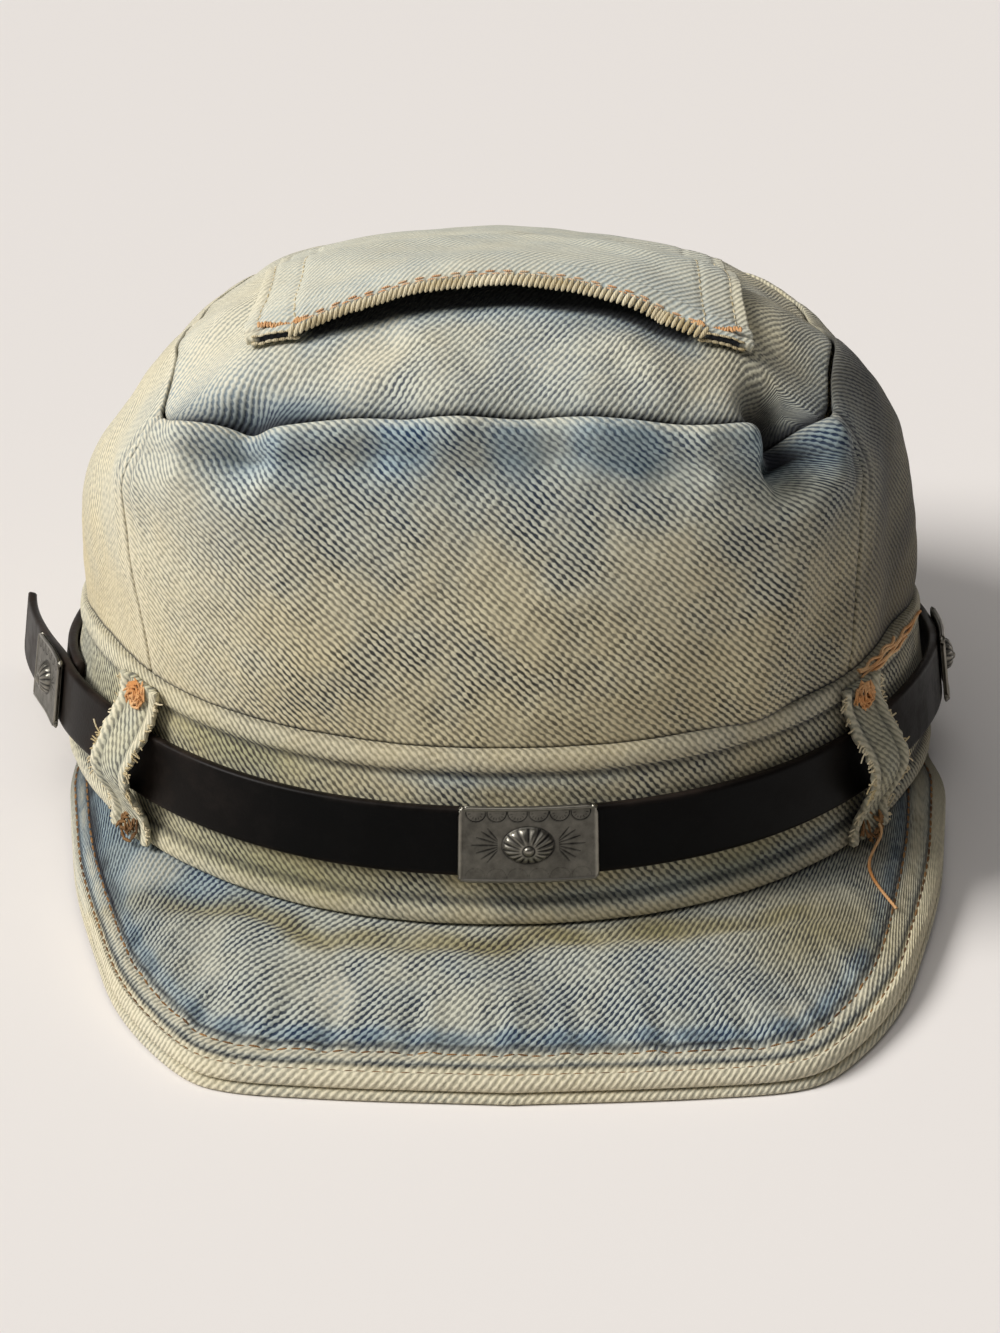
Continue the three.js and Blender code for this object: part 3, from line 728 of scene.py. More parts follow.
def top_marks(u, v, points):
    angle, level = top_grid(u, v)
    from_seam = (level - 2) * LEVEL_LENGTH
    x, y = points[..., 0], points[..., 1]
    blue = 0.22 + 0.4 * np.exp(-((from_seam / 7) ** 2)) * (y < -20)
    blue = blue + 0.45 * np.exp(-(((x + 52) / 16) ** 2) - ((y + 62) / 14) ** 2)
    blue = blue + 0.35 * np.exp(-(((x - 4) / 18) ** 2) - ((y + 62) / 10) ** 2)
    khaki = 0.3 + 0.4 * smooth(x, 10, 55)
    ahead = smooth(np.degrees(angle), 58, 48) * smooth(np.degrees(angle), -52, -44)
    # Painted shade in the groove behind the front panel's roll, and in the dents at 41.5 and -35 degrees.
    dark = (0.12 + 0.78 * ahead) * np.exp(-((from_seam / 1.1) ** 2))
    dark = dark + 0.35 * np.exp(-((from_seam / 3.4) ** 2)) * ahead
    dark = dark + 0.8 * spot(angle, level, 41.5, 2.03, 3.0, 0.05) + 0.3 * spot(angle, level, -35, 2.02, 7, 0.05)
    mouth = -POCKET_AHEAD + POCKET_MOUTH_DIP * np.clip(1 - (x / 36.8) ** 2, 0, 1)
    below = smooth(y, mouth - 0.8, mouth + 0.6) * smooth(np.abs(x), 37, 34) * (y < 0)
    # Painted shade in the gap under the pocket's mouth.
    dark = np.maximum(dark, 0.93 * below)
    # Bluer under the mouth, where the cloth kept its dye.
    blue = blue + 0.6 * np.exp(-(((y - mouth) / 5) ** 2)) * smooth(np.abs(x), 40, 34)
    # Painted shade just ahead of the mouth's right half.
    dark = dark + 0.3 * np.exp(-(((y - mouth + 2) / 4) ** 2)) * smooth(x, 5, 20) * smooth(x, 42, 32)
    # Painted shade over the front right of the top, which turns away from the light.
    dark = dark + 0.15 * smooth(x, 28, 48) * smooth(y, 30, 0)
    # Painted shade in the dent by the top seam at -34 degrees, blue and dark.
    fold = spot(angle, level, -34, 2.02, 9, 0.035)
    blue, dark = blue + 0.75 * fold, dark + 0.3 * fold
    # Worn: real wear in patches, and a painted highlight on the left, which faces the light.
    worn = 0.25 + 0.5 * smooth(x, -20, -60) + 0.4 * smooth(ripple(points, 22, 71), 0.2, 0.9) - 0.6 * fold
    return {"blue": blue, "khaki": khaki, "green": 0, "dark": np.clip(dark, 0, 0.95), "worn": worn}


top = sheet("top_panel", 170, 170, top_place, top_cloth, wall=1.4, marks=top_marks)
ride(top, "crown_denim", "crown_top")

# %% [markdown]
# ## The waistband
#
# The band is two layers with both edges turned over, so it has a roll at the foot and one at the seam. It is a
# closed section, carried once round the head.

# %% The waistband
ROLL_SHARE = BAND_ROLL_HEIGHT / BAND_HEIGHT


def band_outer(angle, level):
    to_edge = np.minimum(level, 1 - level) / ROLL_SHARE
    roll = np.where(to_edge < 1, BAND_ROLL * np.sqrt(np.clip(1 - (2 * to_edge - 1) ** 2, 0, 1)), 0)
    groove = 0.35 * np.exp(-(((to_edge - 1.15) / 0.2) ** 2))
    points = band_core(angle, level)
    rise = roll - groove + 0.12 * ripple(points, 9, 21)
    return points + flat_out(angle) * rise[..., None]


def band_grid(u, v):
    """v runs up the outside to 0.75, and down the inside after it."""
    v = np.where(v > 0.9999, 0.0, v)
    outer = v / 0.75
    outer = 0.5 - 0.5 * np.cos(np.clip(outer, 0, 1) * math.pi) * (0.75 + 0.25 * np.abs(1 - 2 * outer))
    inner = 1 - np.clip((v - 0.77) / 0.22, 0, 1)
    return mix(-math.pi, math.pi, u), np.where(v <= 0.75, outer, inner), v <= 0.75


def band_place(u, v):
    angle, level, outside = band_grid(u, v)
    inner = band_core(angle, level) - flat_out(angle) * BAND_WALL
    return np.where(outside[..., None], band_outer(angle, np.clip(level, 0, 1)), inner)


def band_marks(u, v, points):
    angle, level, outside = band_grid(u, v)
    to_edge = np.minimum(level, 1 - level) / ROLL_SHARE
    worn = 0.55 * smooth(to_edge, 0.95, 0.5) * outside
    dark = 0.7 * np.exp(-(((to_edge - 1.08) / 0.13) ** 2)) * outside
    # Painted shade over the right side, away from the light, and along the band's edges, where they meet the peak and
    # the crown.
    shade = smooth(np.sin(angle), 0.3, 0.85) * smooth(np.cos(angle), -0.5, 0.1)
    dark = dark + 0.36 * shade + 0.1 * smooth(np.cos(angle), 0.7, 0.95) + 0.2 * smooth(to_edge, 0.14, 0.05)
    blue = 0.12 + 0.5 * spot(angle, level, 0, 0.84, 16, 0.05) + 0.6 * spot(angle, level, 25, 0.15, 28, 0.07)
    green = 0.8 * spot(angle, level, -34, 0.82, 12, 0.14) + 0.8 * spot(angle, level, -28, 0.17, 16, 0.14)
    green = green + 0.5 * spot(angle, level, 30, 0.2, 9, 0.12) + 0.4 * spot(angle, level, -58, 0.7, 12, 0.3)
    khaki = 0.72 - 0.25 * smooth(-np.sin(angle), 0.7, 0.95)
    return {"blue": blue, "khaki": khaki, "green": green, "dark": dark, "worn": worn}


band = sheet("waistband_cloth", 420, 64, band_place, band_cloth, closed=True, marks=band_marks)
ride(band, "band_denim", "waistband")

# %% [markdown]
# ## The peak
#
# The peak is stiff: a thick upper ply whose rim is turned and topstitched in two rows, and a thin under ply
# whose own rolled edge shows as a lip below it. Each ply is a closed section from the root to the rim and back.


# %% The peak
def peak_frame(t):
    """The root and the rim of the peak at each place from its left end (-1) to its right end (1)."""
    rim = row_at(RIM, np.abs(t))
    angle = PEAK_ROOT * t
    root = plain(angle, np.zeros_like(t))
    out = unit(outward(plain, angle, np.full_like(t, 0.01)) * np.array([1.0, 1.0, 0.0]))
    root = root - out * PEAK_ROOT_DEPTH - np.array([0, 0, GAP])
    fade = 0.8 * smooth(np.abs(t), 0.9, 1.0) ** 2
    back = plain(PEAK_ROOT, 0.0)[1]
    front = plain(0.0, 0.0)[1] - PEAK_LENGTH
    thickness = PEAK_UPPER + GAP + PEAK_UNDER
    edge = np.stack(
        [
            np.sign(t) * rim[..., 1] * PEAK_WIDTH / 2 + PEAK_OFFSET,
            mix(back, front, rim[..., 2]),
            thickness + rim[..., 3] * FRONT_LIFT,
        ],
        -1,
    )
    edge = mix(edge, root + (edge - root) * 0.3, fade[..., None])
    away = (edge - root) * np.array([1.0, 1.0, 0.0])
    length = np.linalg.norm(away, axis=-1)
    return root, edge, unit(away), length


def peak_surface(t, back_from_rim, reach=0.0):
    """A point of the upper face, a distance in millimetres in from the rim."""
    root, edge, away, length = peak_frame(t)
    share = np.minimum(1, length / PEAK_LENGTH)
    edge = edge + away * (reach * share)[..., None]
    v = np.clip(1 - back_from_rim / np.maximum(length + reach * share, 1e-6), 0, 1)
    point = mix(root, edge, v[..., None])
    rise = PEAK_ARCH * share * np.sin(math.pi * v)
    return point + np.stack([0 * rise, 0 * rise, rise], -1)


def peak_section(t, v, depth, wall, reach, relief):
    """v from 0 at the root over the upper face to 0.5, round the rim to 0.62, and back below to the root."""
    v = np.where(v > 0.9999, 0.0, v)
    root, edge, away, length = peak_frame(t)
    share = np.minimum(1, length / PEAK_LENGTH)
    radius = wall / 2 * share
    round_ = np.clip((v - 0.5) / 0.12, 0, 1) * math.pi
    over = pull(np.clip(v / 0.5, 0, 1), 1.35)
    under = np.clip((v - 0.62) / 0.37, 0, 1)
    reach_here = length + reach * share
    inside = np.where(v <= 0.5, (1 - over) * (reach_here - radius) + radius, radius)
    inside = np.where(v > 0.5, radius * (1 - np.sin(round_)), inside)
    inside = np.where(v > 0.62, mix(radius, reach_here, under), inside)
    drop = depth + np.where(v <= 0.5, 0, wall / 2 * (1 - np.cos(round_)))
    point = peak_surface(t, inside, reach)
    rise = relief(t, inside, length) * (v <= 0.5) if relief else 0 * v
    point[..., 2] += rise - drop
    return point


def row_one(t):
    """How far in from the rim the outer row of stitches runs, in millimetres."""
    return 2.2 + 1.9 * smooth(t, 0.3, 0.85)


def row_two(t):
    return 6.6 + 4.2 * smooth(t, 0.3, 0.85)


# x and y of the crease across the peak
CREASE = ([-88, -75, -48, -32, -4, 38, 70, 88], [-78, -83, -90, -100.5, -102.5, -97, -88, -80])


def past_crease(points):
    """How far ahead of the crease each point lies, in millimetres."""
    return np.interp(points[..., 0], *CREASE) - points[..., 1]


def peak_relief(t, inside, length):
    """The roll of the rim, the grooves of the two rows of stitches, and the puckers beside them."""
    share = np.minimum(1, length / PEAK_LENGTH)
    one, two = row_one(t), row_two(t)
    roll = 0.4 * np.sqrt(np.clip(1 - ((inside - one * 0.45) / (one * 0.5)) ** 2, 0, 1))
    grooves = 0.45 * np.exp(-(((inside - one) / 0.7) ** 2))
    grooves = grooves + 0.5 * np.exp(-(((inside - two) / 0.8) ** 2))
    waves = np.sin(t * 128) + 0.8 * np.sin(t * 81 + 1.3) + 0.6 * np.sin(t * 197 + 0.4)
    puckers = 0.2 * waves * smooth(inside, two - 4, two + 1) * smooth(inside, 28, 12)
    puckers = puckers + 0.35 * np.sin(t * 41 + 0.09 * inside) * smooth(inside, two, two + 5) * smooth(inside, 34, 20)
    crease = 0.7 * np.exp(-((past_crease(peak_surface(t, inside)) / 1.7) ** 2)) * smooth(np.abs(t), 0.95, 0.6)
    soft = 0.5 * np.sin(t * 23 + inside * 0.12) * smooth(inside, 8, 20) * smooth(inside, 38, 28)
    return share * (roll - grooves + puckers - crease + soft)


def peak_top_place(u, v):
    return peak_section(2 * u - 1, v, 0.0, PEAK_UPPER, 0.0, peak_relief)


def peak_under_place(u, v):
    return peak_section(2 * u - 1, v, PEAK_UPPER + GAP, PEAK_UNDER, PEAK_LIP, None)


def peak_inside(u, v):
    """How far in from the rim each point of the upper face is, in millimetres."""
    t = 2 * u - 1
    length = peak_frame(t)[3]
    over = pull(np.clip(v / 0.5, 0, 1), 1.35)
    return np.where(v <= 0.5, (1 - over) * length, np.where(v <= 0.62, 0.0, 8.0)), t


def peak_marks(u, v, points):
    inside, t = peak_inside(u, v)
    blue = 0.4 + 0.3 * smooth(t, -0.35, -0.85) - 0.1 * smooth(t, 0.3, 0.9)
    past = past_crease(points) + 1.6 * ripple(points, 14, 51)
    stain = np.exp(-(((past + 1) / 3.4) ** 2)) * smooth(points[..., 0], -85, -50) * smooth(points[..., 0], 85, 45)
    stain = stain * (0.75 + 0.25 * ripple(points, 18, 52))
    stain = np.maximum(stain, 0.7 * np.exp(-(((points[..., 0] - 62) / 14) ** 2) - ((past - 3) / 9) ** 2))
    one, two = row_one(t), row_two(t)
    between = np.exp(-(((inside - (one + two) / 2) / (0.33 * (two - one))) ** 2))
    rim = smooth(inside, one + 0.2, one - 0.6)
    khaki = 0.16 + 0.85 * stain + 0.25 * smooth(t, 0.2, 0.7) + 0.35 * rim + 0.2 * between
    green = 0.7 * stain
    blue = blue - 0.5 * stain + 0.4 * smooth(past, 0, -3) * smooth(points[..., 0], -25, -55)
    patches = 0.5 + 0.5 * np.sin(t * 81 + 1.3 + 1.5 * np.sin(t * 37))
    worn = 0.9 * smooth(inside, one - 0.3, one - 0.9) + 0.8 * between * (1 - 0.6 * smooth(patches, 0.6, 0.9))
    bare = smooth(ripple(points, 15, 53), 0.35, 0.95) * smooth(inside, two + 2, two + 5)
    worn = worn * (inside < 60) + 0.65 * bare * (1 - 0.8 * stain)
    blue = blue - 0.5 * rim - 0.3 * between
    blue = blue + 0.7 * np.exp(-(((inside - two - 2.0) / 2.2) ** 2)) * (0.55 + 0.45 * patches)
    dark = 0.65 * np.exp(-(((inside - one) / 0.45) ** 2)) + 0.65 * np.exp(-(((inside - two) / 0.5) ** 2))
    dark = dark + 0.3 * np.exp(-(((inside - two - 1.8) / 1.5) ** 2)) * patches
    dark = dark + 0.4 * np.exp(-(((inside - two - 0.6) / 1.8) ** 2)) * smooth(t, -0.5, -0.75)
    # The peak's cloth is a little darker overall, and its right part gets painted shade.
    dark = dark + 0.2 + 0.22 * smooth(t, 0.1, 0.8) * smooth(inside, 6, 12) + 0.3 * smooth(t, 0.8, 0.98)
    dark = dark + 0.1 * smooth(t, -0.25, -0.6) * smooth(inside, 4, 10) + 0.14 * stain - 0.12 * rim
    return {"blue": blue, "khaki": khaki, "green": green, "dark": dark, "worn": worn}


def lip_marks(u, v, points):
    return {"blue": 0.1, "khaki": 0.5, "green": 0, "dark": 0.1, "worn": 0.85 * (v > 0.45) * (v < 0.7)}


peak_top = sheet("peak_upper_ply", 360, 100, peak_top_place, peak_cloth, closed=True, marks=peak_marks)
ride(peak_top, "peak_denim", "peak_top")
peak_lip = sheet("peak_under_ply", 240, 48, peak_under_place, peak_cloth, closed=True, marks=lip_marks)
ride(peak_lip, "peak_denim", "peak_under")

# %% [markdown]
# ## The patch pocket
#
# A back pocket of the jeans is sewn on the top with its mouth to the front. The mouth's hem has worn into a
# rope, and its middle gapes.


# %% The pocket
def place_over(x, y):
    """The angle and level of the crown's top over a point of the plan."""
    x, y = np.broadcast_arrays(np.asarray(x, float), np.asarray(y, float))
    low, high = np.full(x.shape, 2.0), np.full(x.shape, 3.0)
    angle = np.zeros(x.shape)
    for _ in range(26):
        level = (low + high) / 2
        _, _, _, _, _, sway, width, front, back, fore, aft = np.moveaxis(row_at(RINGS, level), -1, 0)
        across = (x / (OPENING_WIDTH / 2) - sway) / np.maximum(width, 1e-9)
        ahead = -y / np.maximum(np.where(y < 0, front, back) * OPENING_LENGTH / 2, 1e-9)
        power = np.where(y < 0, fore, aft)
        angle = np.arctan2(across, ahead)
        out = np.abs(across) ** power + np.abs(ahead) ** power > 1
        high = np.where(out, level, high)
        low = np.where(out, low, level)
    return angle, low


ROPE_PITCH = 1.0


def pocket_grid(u, v):
    a, b = 2 * u - 1, v ** 1.25
    middle = np.maximum(0, 1 - (a / POCKET_MOUTH) ** 2)
    front = -POCKET_AHEAD + POCKET_MOUTH_DIP * middle
    back = -POCKET_AHEAD + POCKET_LENGTH + POCKET_POINT * (1 - np.abs(a))
    return a, b, middle, front, back


def pocket_base(a, b, middle, front, back):
    angle, level = place_over(a * POCKET_WIDTH / 2, mix(front, back, b))
    gape = 0.85 * POCKET_GAPE * middle**1.2 * (1 - smooth(b, 0, 0.45))
    stand = 0.5 + gape
    return crown(angle, level), outward(crown, angle, level), stand


def pocket_place(u, v):
    a, b, middle, front, back = pocket_grid(u, v)
    points, out, stand = pocket_base(a, b, middle, front, back)
    inside = b * (back - front)
    to_side = (1 - np.abs(a)) * POCKET_WIDTH / 2
    rope = np.sqrt(np.clip(1 - ((inside - 1.3) / 1.3) ** 2, 0, 1)) * smooth(np.abs(a), 0.86, 0.8)
    rise = stand + mix(2.2, 1.6, smooth(inside, POCKET_HEM - 1, POCKET_HEM + 1))
    rise = rise + 0.4 * rope - 0.4 * np.exp(-(((inside - 3.2) / 0.7) ** 2))
    rise = rise - 0.25 * np.exp(-(((to_side - 2.4) / 0.7) ** 2)) - 0.25 * np.exp(-(((to_side - 8.5) / 0.7) ** 2))
    rise = rise + 0.15 * ripple(points, 10, 33)
    return points + out * rise[..., None]


def pocket_marks(u, v, points):
    a, b, middle, front, back = pocket_grid(u, v)
    inside = b * (back - front)
    to_side = (1 - np.abs(a)) * POCKET_WIDTH / 2
    rope = smooth(inside, 2.9, 2.3)
    worn = 0.5 * smooth(to_side, 1.6, 0.6)
    dark = 0.35 * np.exp(-(((inside - 3.1) / 0.5) ** 2)) + 0.25 * np.exp(-(((to_side - 2.4) / 0.5) ** 2))
    rope = rope * smooth(np.abs(a), 0.86, 0.8)
    # Painted shade in the gaps between the rope's ribs.
    dark = dark + 0.6 * rope
    khaki = 0.25 + 0.3 * smooth(inside, 8, 2)
    # The slot by each corner tab is painted near black: painted shade in the opening.
    slot = smooth(inside, 0.35, 0.1) * smooth(np.abs(a), 0.81, 0.84) * smooth(np.abs(a), 0.965, 0.95)
    dark = np.maximum(dark, 0.99 * slot)
    worn = np.maximum(worn, 0.55 + 0.2 * smooth(a, 0.0, -0.8)) * (1 - slot)
    blue = 0.48 - 0.35 * smooth(to_side, 3.4, 1.6) + 0.25 * smooth(inside, 18, 6) * smooth(np.abs(a), 0.1, 0.6)
    return {"blue": blue, "khaki": khaki, "green": 0, "dark": dark, "worn": worn}


pocket = sheet("patch_pocket", 230, 120, pocket_place, pocket_cloth, wall=1.5, marks=pocket_marks)
ride(pocket, "crown_denim", "pocket")

# %% [markdown]
# ## Belt loops
#
# Three loops of the jeans' own cloth hold the strap. Each is a narrow strip, sewn at its ends and bowed out
# between them, with both of its edges worn to a fringe.


# %% Belt loops
def loop_surface(turn):
    out = flat_out(np.array(turn))
    along = np.cross([0.0, 0.0, 1.0], out)

    def surface(across, v, wall=LOOP_WALL):
        bow = smooth(v, 0.08, 0.5) * (1 - smooth(v, 0.5, 0.92))
        stand = BAND_ROLL + GAP + (LOOP_BOW - LOOP_WALL) * bow + wall
        core = band_core(np.full(np.shape(v), float(turn)), mix(0.03, 0.97, np.asarray(v)))
        return core + out * np.asarray(stand)[..., None] + along * np.asarray(across)[..., None]

    return surface


def loop_waist(v):
    """The loops have drawn in below their middle, and spread again at the foot."""
    return 1 - 0.2 * np.exp(-(((v - 0.27) / 0.12) ** 2)) + 0.06 * np.exp(-(((v - 0.06) / 0.08) ** 2))


def belt_loop(name, turn, node, seed):
    surface = loop_surface(turn)
    rng = np.random.default_rng(seed)
    knots = rng.uniform(-0.35, 0.35, size=(2, 40))

    def place(u, v):
        edge = np.where(u < 0.5, np.interp(v, np.linspace(0, 1, 40), knots[0]),
                        np.interp(v, np.linspace(0, 1, 40), knots[1]))
        across = (u - 0.5) * (LOOP_WIDTH - 0.7) * loop_waist(v) + edge * np.abs(2 * u - 1) ** 4
        points = surface(across, v)
        a = np.abs(2 * u - 1)
        lift = 0.5 * np.exp(-(((a - 0.82) / 0.15) ** 2)) - 0.35 * np.exp(-(((a - 0.55) / 0.1) ** 2))
        out = flat_out(np.array(turn))
        return points + out * (lift - 0.4 + 0.2 * ripple(points, 6, seed))[..., None]

    def marks(u, v, points):
        a = np.abs(2 * u - 1)
        worn = 0.9 * smooth(a, 0.6, 0.8)
        # The right loop is darker: painted shade, on the side away from the light.
        dark = 0.4 * np.exp(-(((a - 0.55) / 0.07) ** 2)) + 0.3 * (turn > 0 and turn < 2)
        return {"blue": 0.25, "khaki": 0.6, "green": 0.2, "dark": dark, "worn": worn}

    piece = sheet(name, 26, 110, place, loop_cloth, wall=1.4, marks=marks)
    ride(piece, "loop_denim", node)


belt_loop("loop_left", -LOOP_ANGLE, "belt_loop_left", 1)
belt_loop("loop_right", LOOP_ANGLE, "belt_loop_right", 2)
belt_loop("loop_back", math.pi, "belt_loop_back", 3)

# %% [markdown]
# ## The leather strap
#
# One strip of smooth black leather goes round once and laps over itself at the left, where its tail stands out
# behind the plate. Its section is a rectangle with rounded corners.


# %% Leather
def leather():
    material = bpy.data.materials.new("black leather")
    material.use_nodes = True
    tree = material.node_tree
    tree.nodes.clear()
    place = put(tree, "ShaderNodeTexCoord").outputs["Object"]
    grain = put(tree, "ShaderNodeTexVoronoi", {"Vector": place, "Scale": 1500.0}).outputs["Distance"]
    scuff = noise(tree, place, 90, 5, 0.65, 0.45, 0.7)
    # The worn mask lightens the leather towards brown: scuffed edges, and in places a painted sheen.
    edge = put(tree, "ShaderNodeAttribute", attribute_name="worn").outputs["Fac"]
    worn = calc(tree, "MULTIPLY", edge, spread(tree, scuff, 0, 1, 0.3, 1.0))
    colour = tint(tree, scuff, paint(3, 3, 3), paint(10, 9, 9))
    colour = tint(tree, worn, colour, paint(58, 48, 42))
    bump = put(
        tree, "ShaderNodeBump",
        {"Height": calc(tree, "MULTIPLY_ADD", grain, 0.4, scuff), "Distance": 0.00005, "Strength": 0.7},
    ).outputs[0]
    shader = put(
        tree, "ShaderNodeBsdfPrincipled",
        {"Base Color": colour, "Roughness": spread(tree, scuff, 0, 1, 0.4, 0.6), "Normal": bump},
    )
    shader.inputs["Specular IOR Level"].default_value = 0.09
    out = tree.nodes.new("ShaderNodeOutputMaterial")
    tree.links.new(shader.outputs[0], out.inputs[0])
    return material


black_leather = leather()


# %% The strap
def strap_point(turns, v, stand):
    turns, v, stand = np.broadcast_arrays(np.asarray(turns, float), v, stand)
    _, off, up = np.moveaxis(row_at(STRAP, turns), -1, 0)
    angle = turns * 2 * math.pi
    core = band_core(angle, up)
    rise = unit(band_core(angle, np.full_like(up, 0.8)) - band_core(angle, np.full_like(up, 0.2)))
    along = unit(band_core(angle + 0.01, up) - band_core(angle - 0.01, up))
    out = unit(np.cross(along, rise))
    return core + out * (off * STRAP_WALL + stand)[..., None] + rise * ((v - 0.5) * STRAP_WIDTH)[..., None]


STRAP_CORNER = 0.55


def strap_section(v):
    """Across and out of the strap's middle at each share of the way round its section."""
    half_w, half_t, r = STRAP_WIDTH / 2, STRAP_WALL / 2, STRAP_CORNER
    corners = ((half_w - r, half_t - r), (half_w - r, r - half_t), (r - half_w, r - half_t), (r - half_w, half_t - r))
    xs, ys = [], []
    for k, (x, y) in enumerate(corners):
        for step in range(5):
            a = math.pi / 2 - k * math.pi / 2 - step * math.pi / 8
            xs.append(x + r * math.cos(a))
            ys.append(y + r * math.sin(a))
    xs.append(xs[0])
    ys.append(ys[0])
    xs, ys = np.array(xs), np.array(ys)
    lengths = np.concatenate([[0], np.hypot(np.diff(xs), np.diff(ys)).cumsum()])
    return np.interp(v * lengths[-1], lengths, xs), np.interp(v * lengths[-1], lengths, ys)


def strap_place(u, v):
    across, out = strap_section(np.where(v > 0.9999, 0.0, v))
    turns = mix(STRAP[0, 0], STRAP[-1, 0], u)
    slant = 0.0065 * smooth(turns, -0.284, -0.29) * across / STRAP_WIDTH
    return strap_point(turns + slant, 0.5 + across / STRAP_WIDTH, STRAP_WALL / 2 + out)


def strap_marks(u, v, points):
    across, out = strap_section(v)
    edge = smooth(np.abs(across), STRAP_WIDTH / 2 - 0.9, STRAP_WIDTH / 2)
    # Worn: scuffed edges, a painted sheen over the strap's left part, and a little more over its right part.
    return {"worn": 0.5 * edge + 0.42 * smooth(points[..., 0], -35, -75) + 0.15 * smooth(points[..., 0], 45, 80)}


strap = sheet("leather_strap", 500, 48, strap_place, black_leather, closed=True, marks=strap_marks)
ride(strap, "strap_leather", "strap")

# %% [markdown]
# ## The silver plates
#
# Each plate is stamped: scallops with fine rays along two edges, sprays at the sides, and a fluted shell with a
# bead in the middle. The marks are given as a height over the plate, which lifts or sinks the points of a grid.


# %% Silver
def silver():
    material = bpy.data.materials.new("aged silver")
    material.use_nodes = True
    tree = material.node_tree
    tree.nodes.clear()
    place = put(tree, "ShaderNodeTexCoord").outputs["Object"]
    hollow = put(tree, "ShaderNodeAttribute", attribute_name="dark").outputs["Fac"]
    tarnish = noise(tree, place, 420, 4, 0.6, 0.35, 0.75)
    sunk = calc(tree, "MULTIPLY_ADD", tarnish, 0.3, hollow, clamp=True)
    colour = tint(tree, sunk, paint(144, 140, 130), paint(16, 14, 12))
    scratch = noise(tree, place, 1600, 3, 0.6)
    bump = put(tree, "ShaderNodeBump", {"Height": scratch, "Distance": 0.00003, "Strength": 0.5}).outputs[0]
    shader = put(
        tree, "ShaderNodeBsdfPrincipled",
        {
            "Base Color": colour,
            "Metallic": spread(tree, hollow, 0, 1, 1.0, 0.55),
            "Roughness": spread(tree, sunk, 0, 1, 0.3, 0.65),
            "Normal": bump,
        },
    )
    out = tree.nodes.new("ShaderNodeOutputMaterial")
    tree.links.new(shader.outputs[0], out.inputs[0])
    return material


aged_silver = silver()


# %% The stamped plates
def groove(distance, width=0.14):
    return np.exp(-((distance / width) ** 2))


def stamp(x, y):
    """The height of the plate's face and how deep in a mark each point lies, in millimetres."""
    half_w, half_h = PLATE_WIDTH / 2, PLATE_HEIGHT / 2
    to_edge = np.minimum(half_w - np.abs(x), half_h - np.abs(y))
    height = 0.32 * smooth(to_edge, 0.0, 0.35) - 0.16 * smooth(to_edge, 0.5, 0.8)
    mark = 0.42 * smooth(to_edge, 0.5, 0.85)
    pitch = (PLATE_WIDTH - 2.6) / 6
    cell = (x + PLATE_WIDTH / 2 - 1.3) / pitch
    cx = (cell - np.floor(cell) - 0.5) * pitch
    inside = (cell > 0) & (cell < 6)
    for side in (1, -1):
        cy = half_h - 1.1 - side * y
        away = np.hypot(cx, cy)
        arc = groove(away - pitch * 0.47) * (cy > -0.1)
        fan = np.arctan2(cx, cy)
        rays = np.clip(np.cos(fan * 14), 0, 1) * smooth(away, 0.7, 1.1) * smooth(away, 1.6, 1.4) * (cy > 0)
        mark = np.maximum(mark, inside * np.maximum(arc, 0.8 * rays) * (1.0 if side > 0 else 0.6))
    r = np.hypot(x / (9.2 / 2), y / (7.0 / 2))
    from_bead = np.hypot(x, y + 0.7) / 0.85
    turn = np.arctan2((y + 0.7) / 0.76, x)
    shell = 1.7 * np.sqrt(np.clip(1 - r**2, 0, 1))
    flutes = 0.5 - 0.5 * np.cos(turn * 16)
    in_shell = smooth(r, 1.0, 0.9)
    mark = np.where(r < 1.0, 0.9 * (1 - flutes) ** 2 * smooth(from_bead, 1.4, 2.4), mark)
    height = height + shell + in_shell * 0.26 * (flutes - 0.6) * smooth(from_bead, 1.4, 2.6)
    height = height + 0.45 * np.sqrt(np.clip(1 - from_bead**2, 0, 1))
    mark = np.maximum(mark, 0.8 * groove(r - 1.04, 0.05))
    mark = np.maximum(mark, groove(from_bead - 1.25, 0.18))
    for side in (1, -1):
        for k in range(-3, 4):
            a = k * 0.3
            sx, sy = side * 5.6, k * 0.35
            dx, dy = side * math.cos(a), math.sin(a)
            length = 4.6 - 0.55 * abs(k)
            along = np.clip((x - sx) * dx + (y - sy) * dy, 0, length)
            away = np.hypot(x - sx - along * dx, y - sy - along * dy)
            leaf = 0.12 + 0.16 * np.sin(np.clip(along / length, 0, 1) * math.pi)
            mark = np.maximum(mark, 0.85 * np.exp(-((away / leaf) ** 2)))
    return height - 0.2 * mark * (r > 1.0), mark


def plate_plan(u, v):
    """Even steps over the plate, with the corners drawn in to a round."""
    x, y = (u - 0.5) * PLATE_WIDTH, (v - 0.5) * PLATE_HEIGHT
    r = 2.2
    dx = np.maximum(np.abs(x) - (PLATE_WIDTH / 2 - r), 0)
    dy = np.maximum(np.abs(y) - (PLATE_HEIGHT / 2 - r), 0)
    shrink = np.maximum(dx, dy) / np.maximum(np.hypot(dx, dy), 1e-9)
    shrink = np.where((dx > 0) & (dy > 0), shrink, 1)
    return x - np.sign(x) * dx * (1 - shrink), y - np.sign(y) * dy * (1 - shrink)


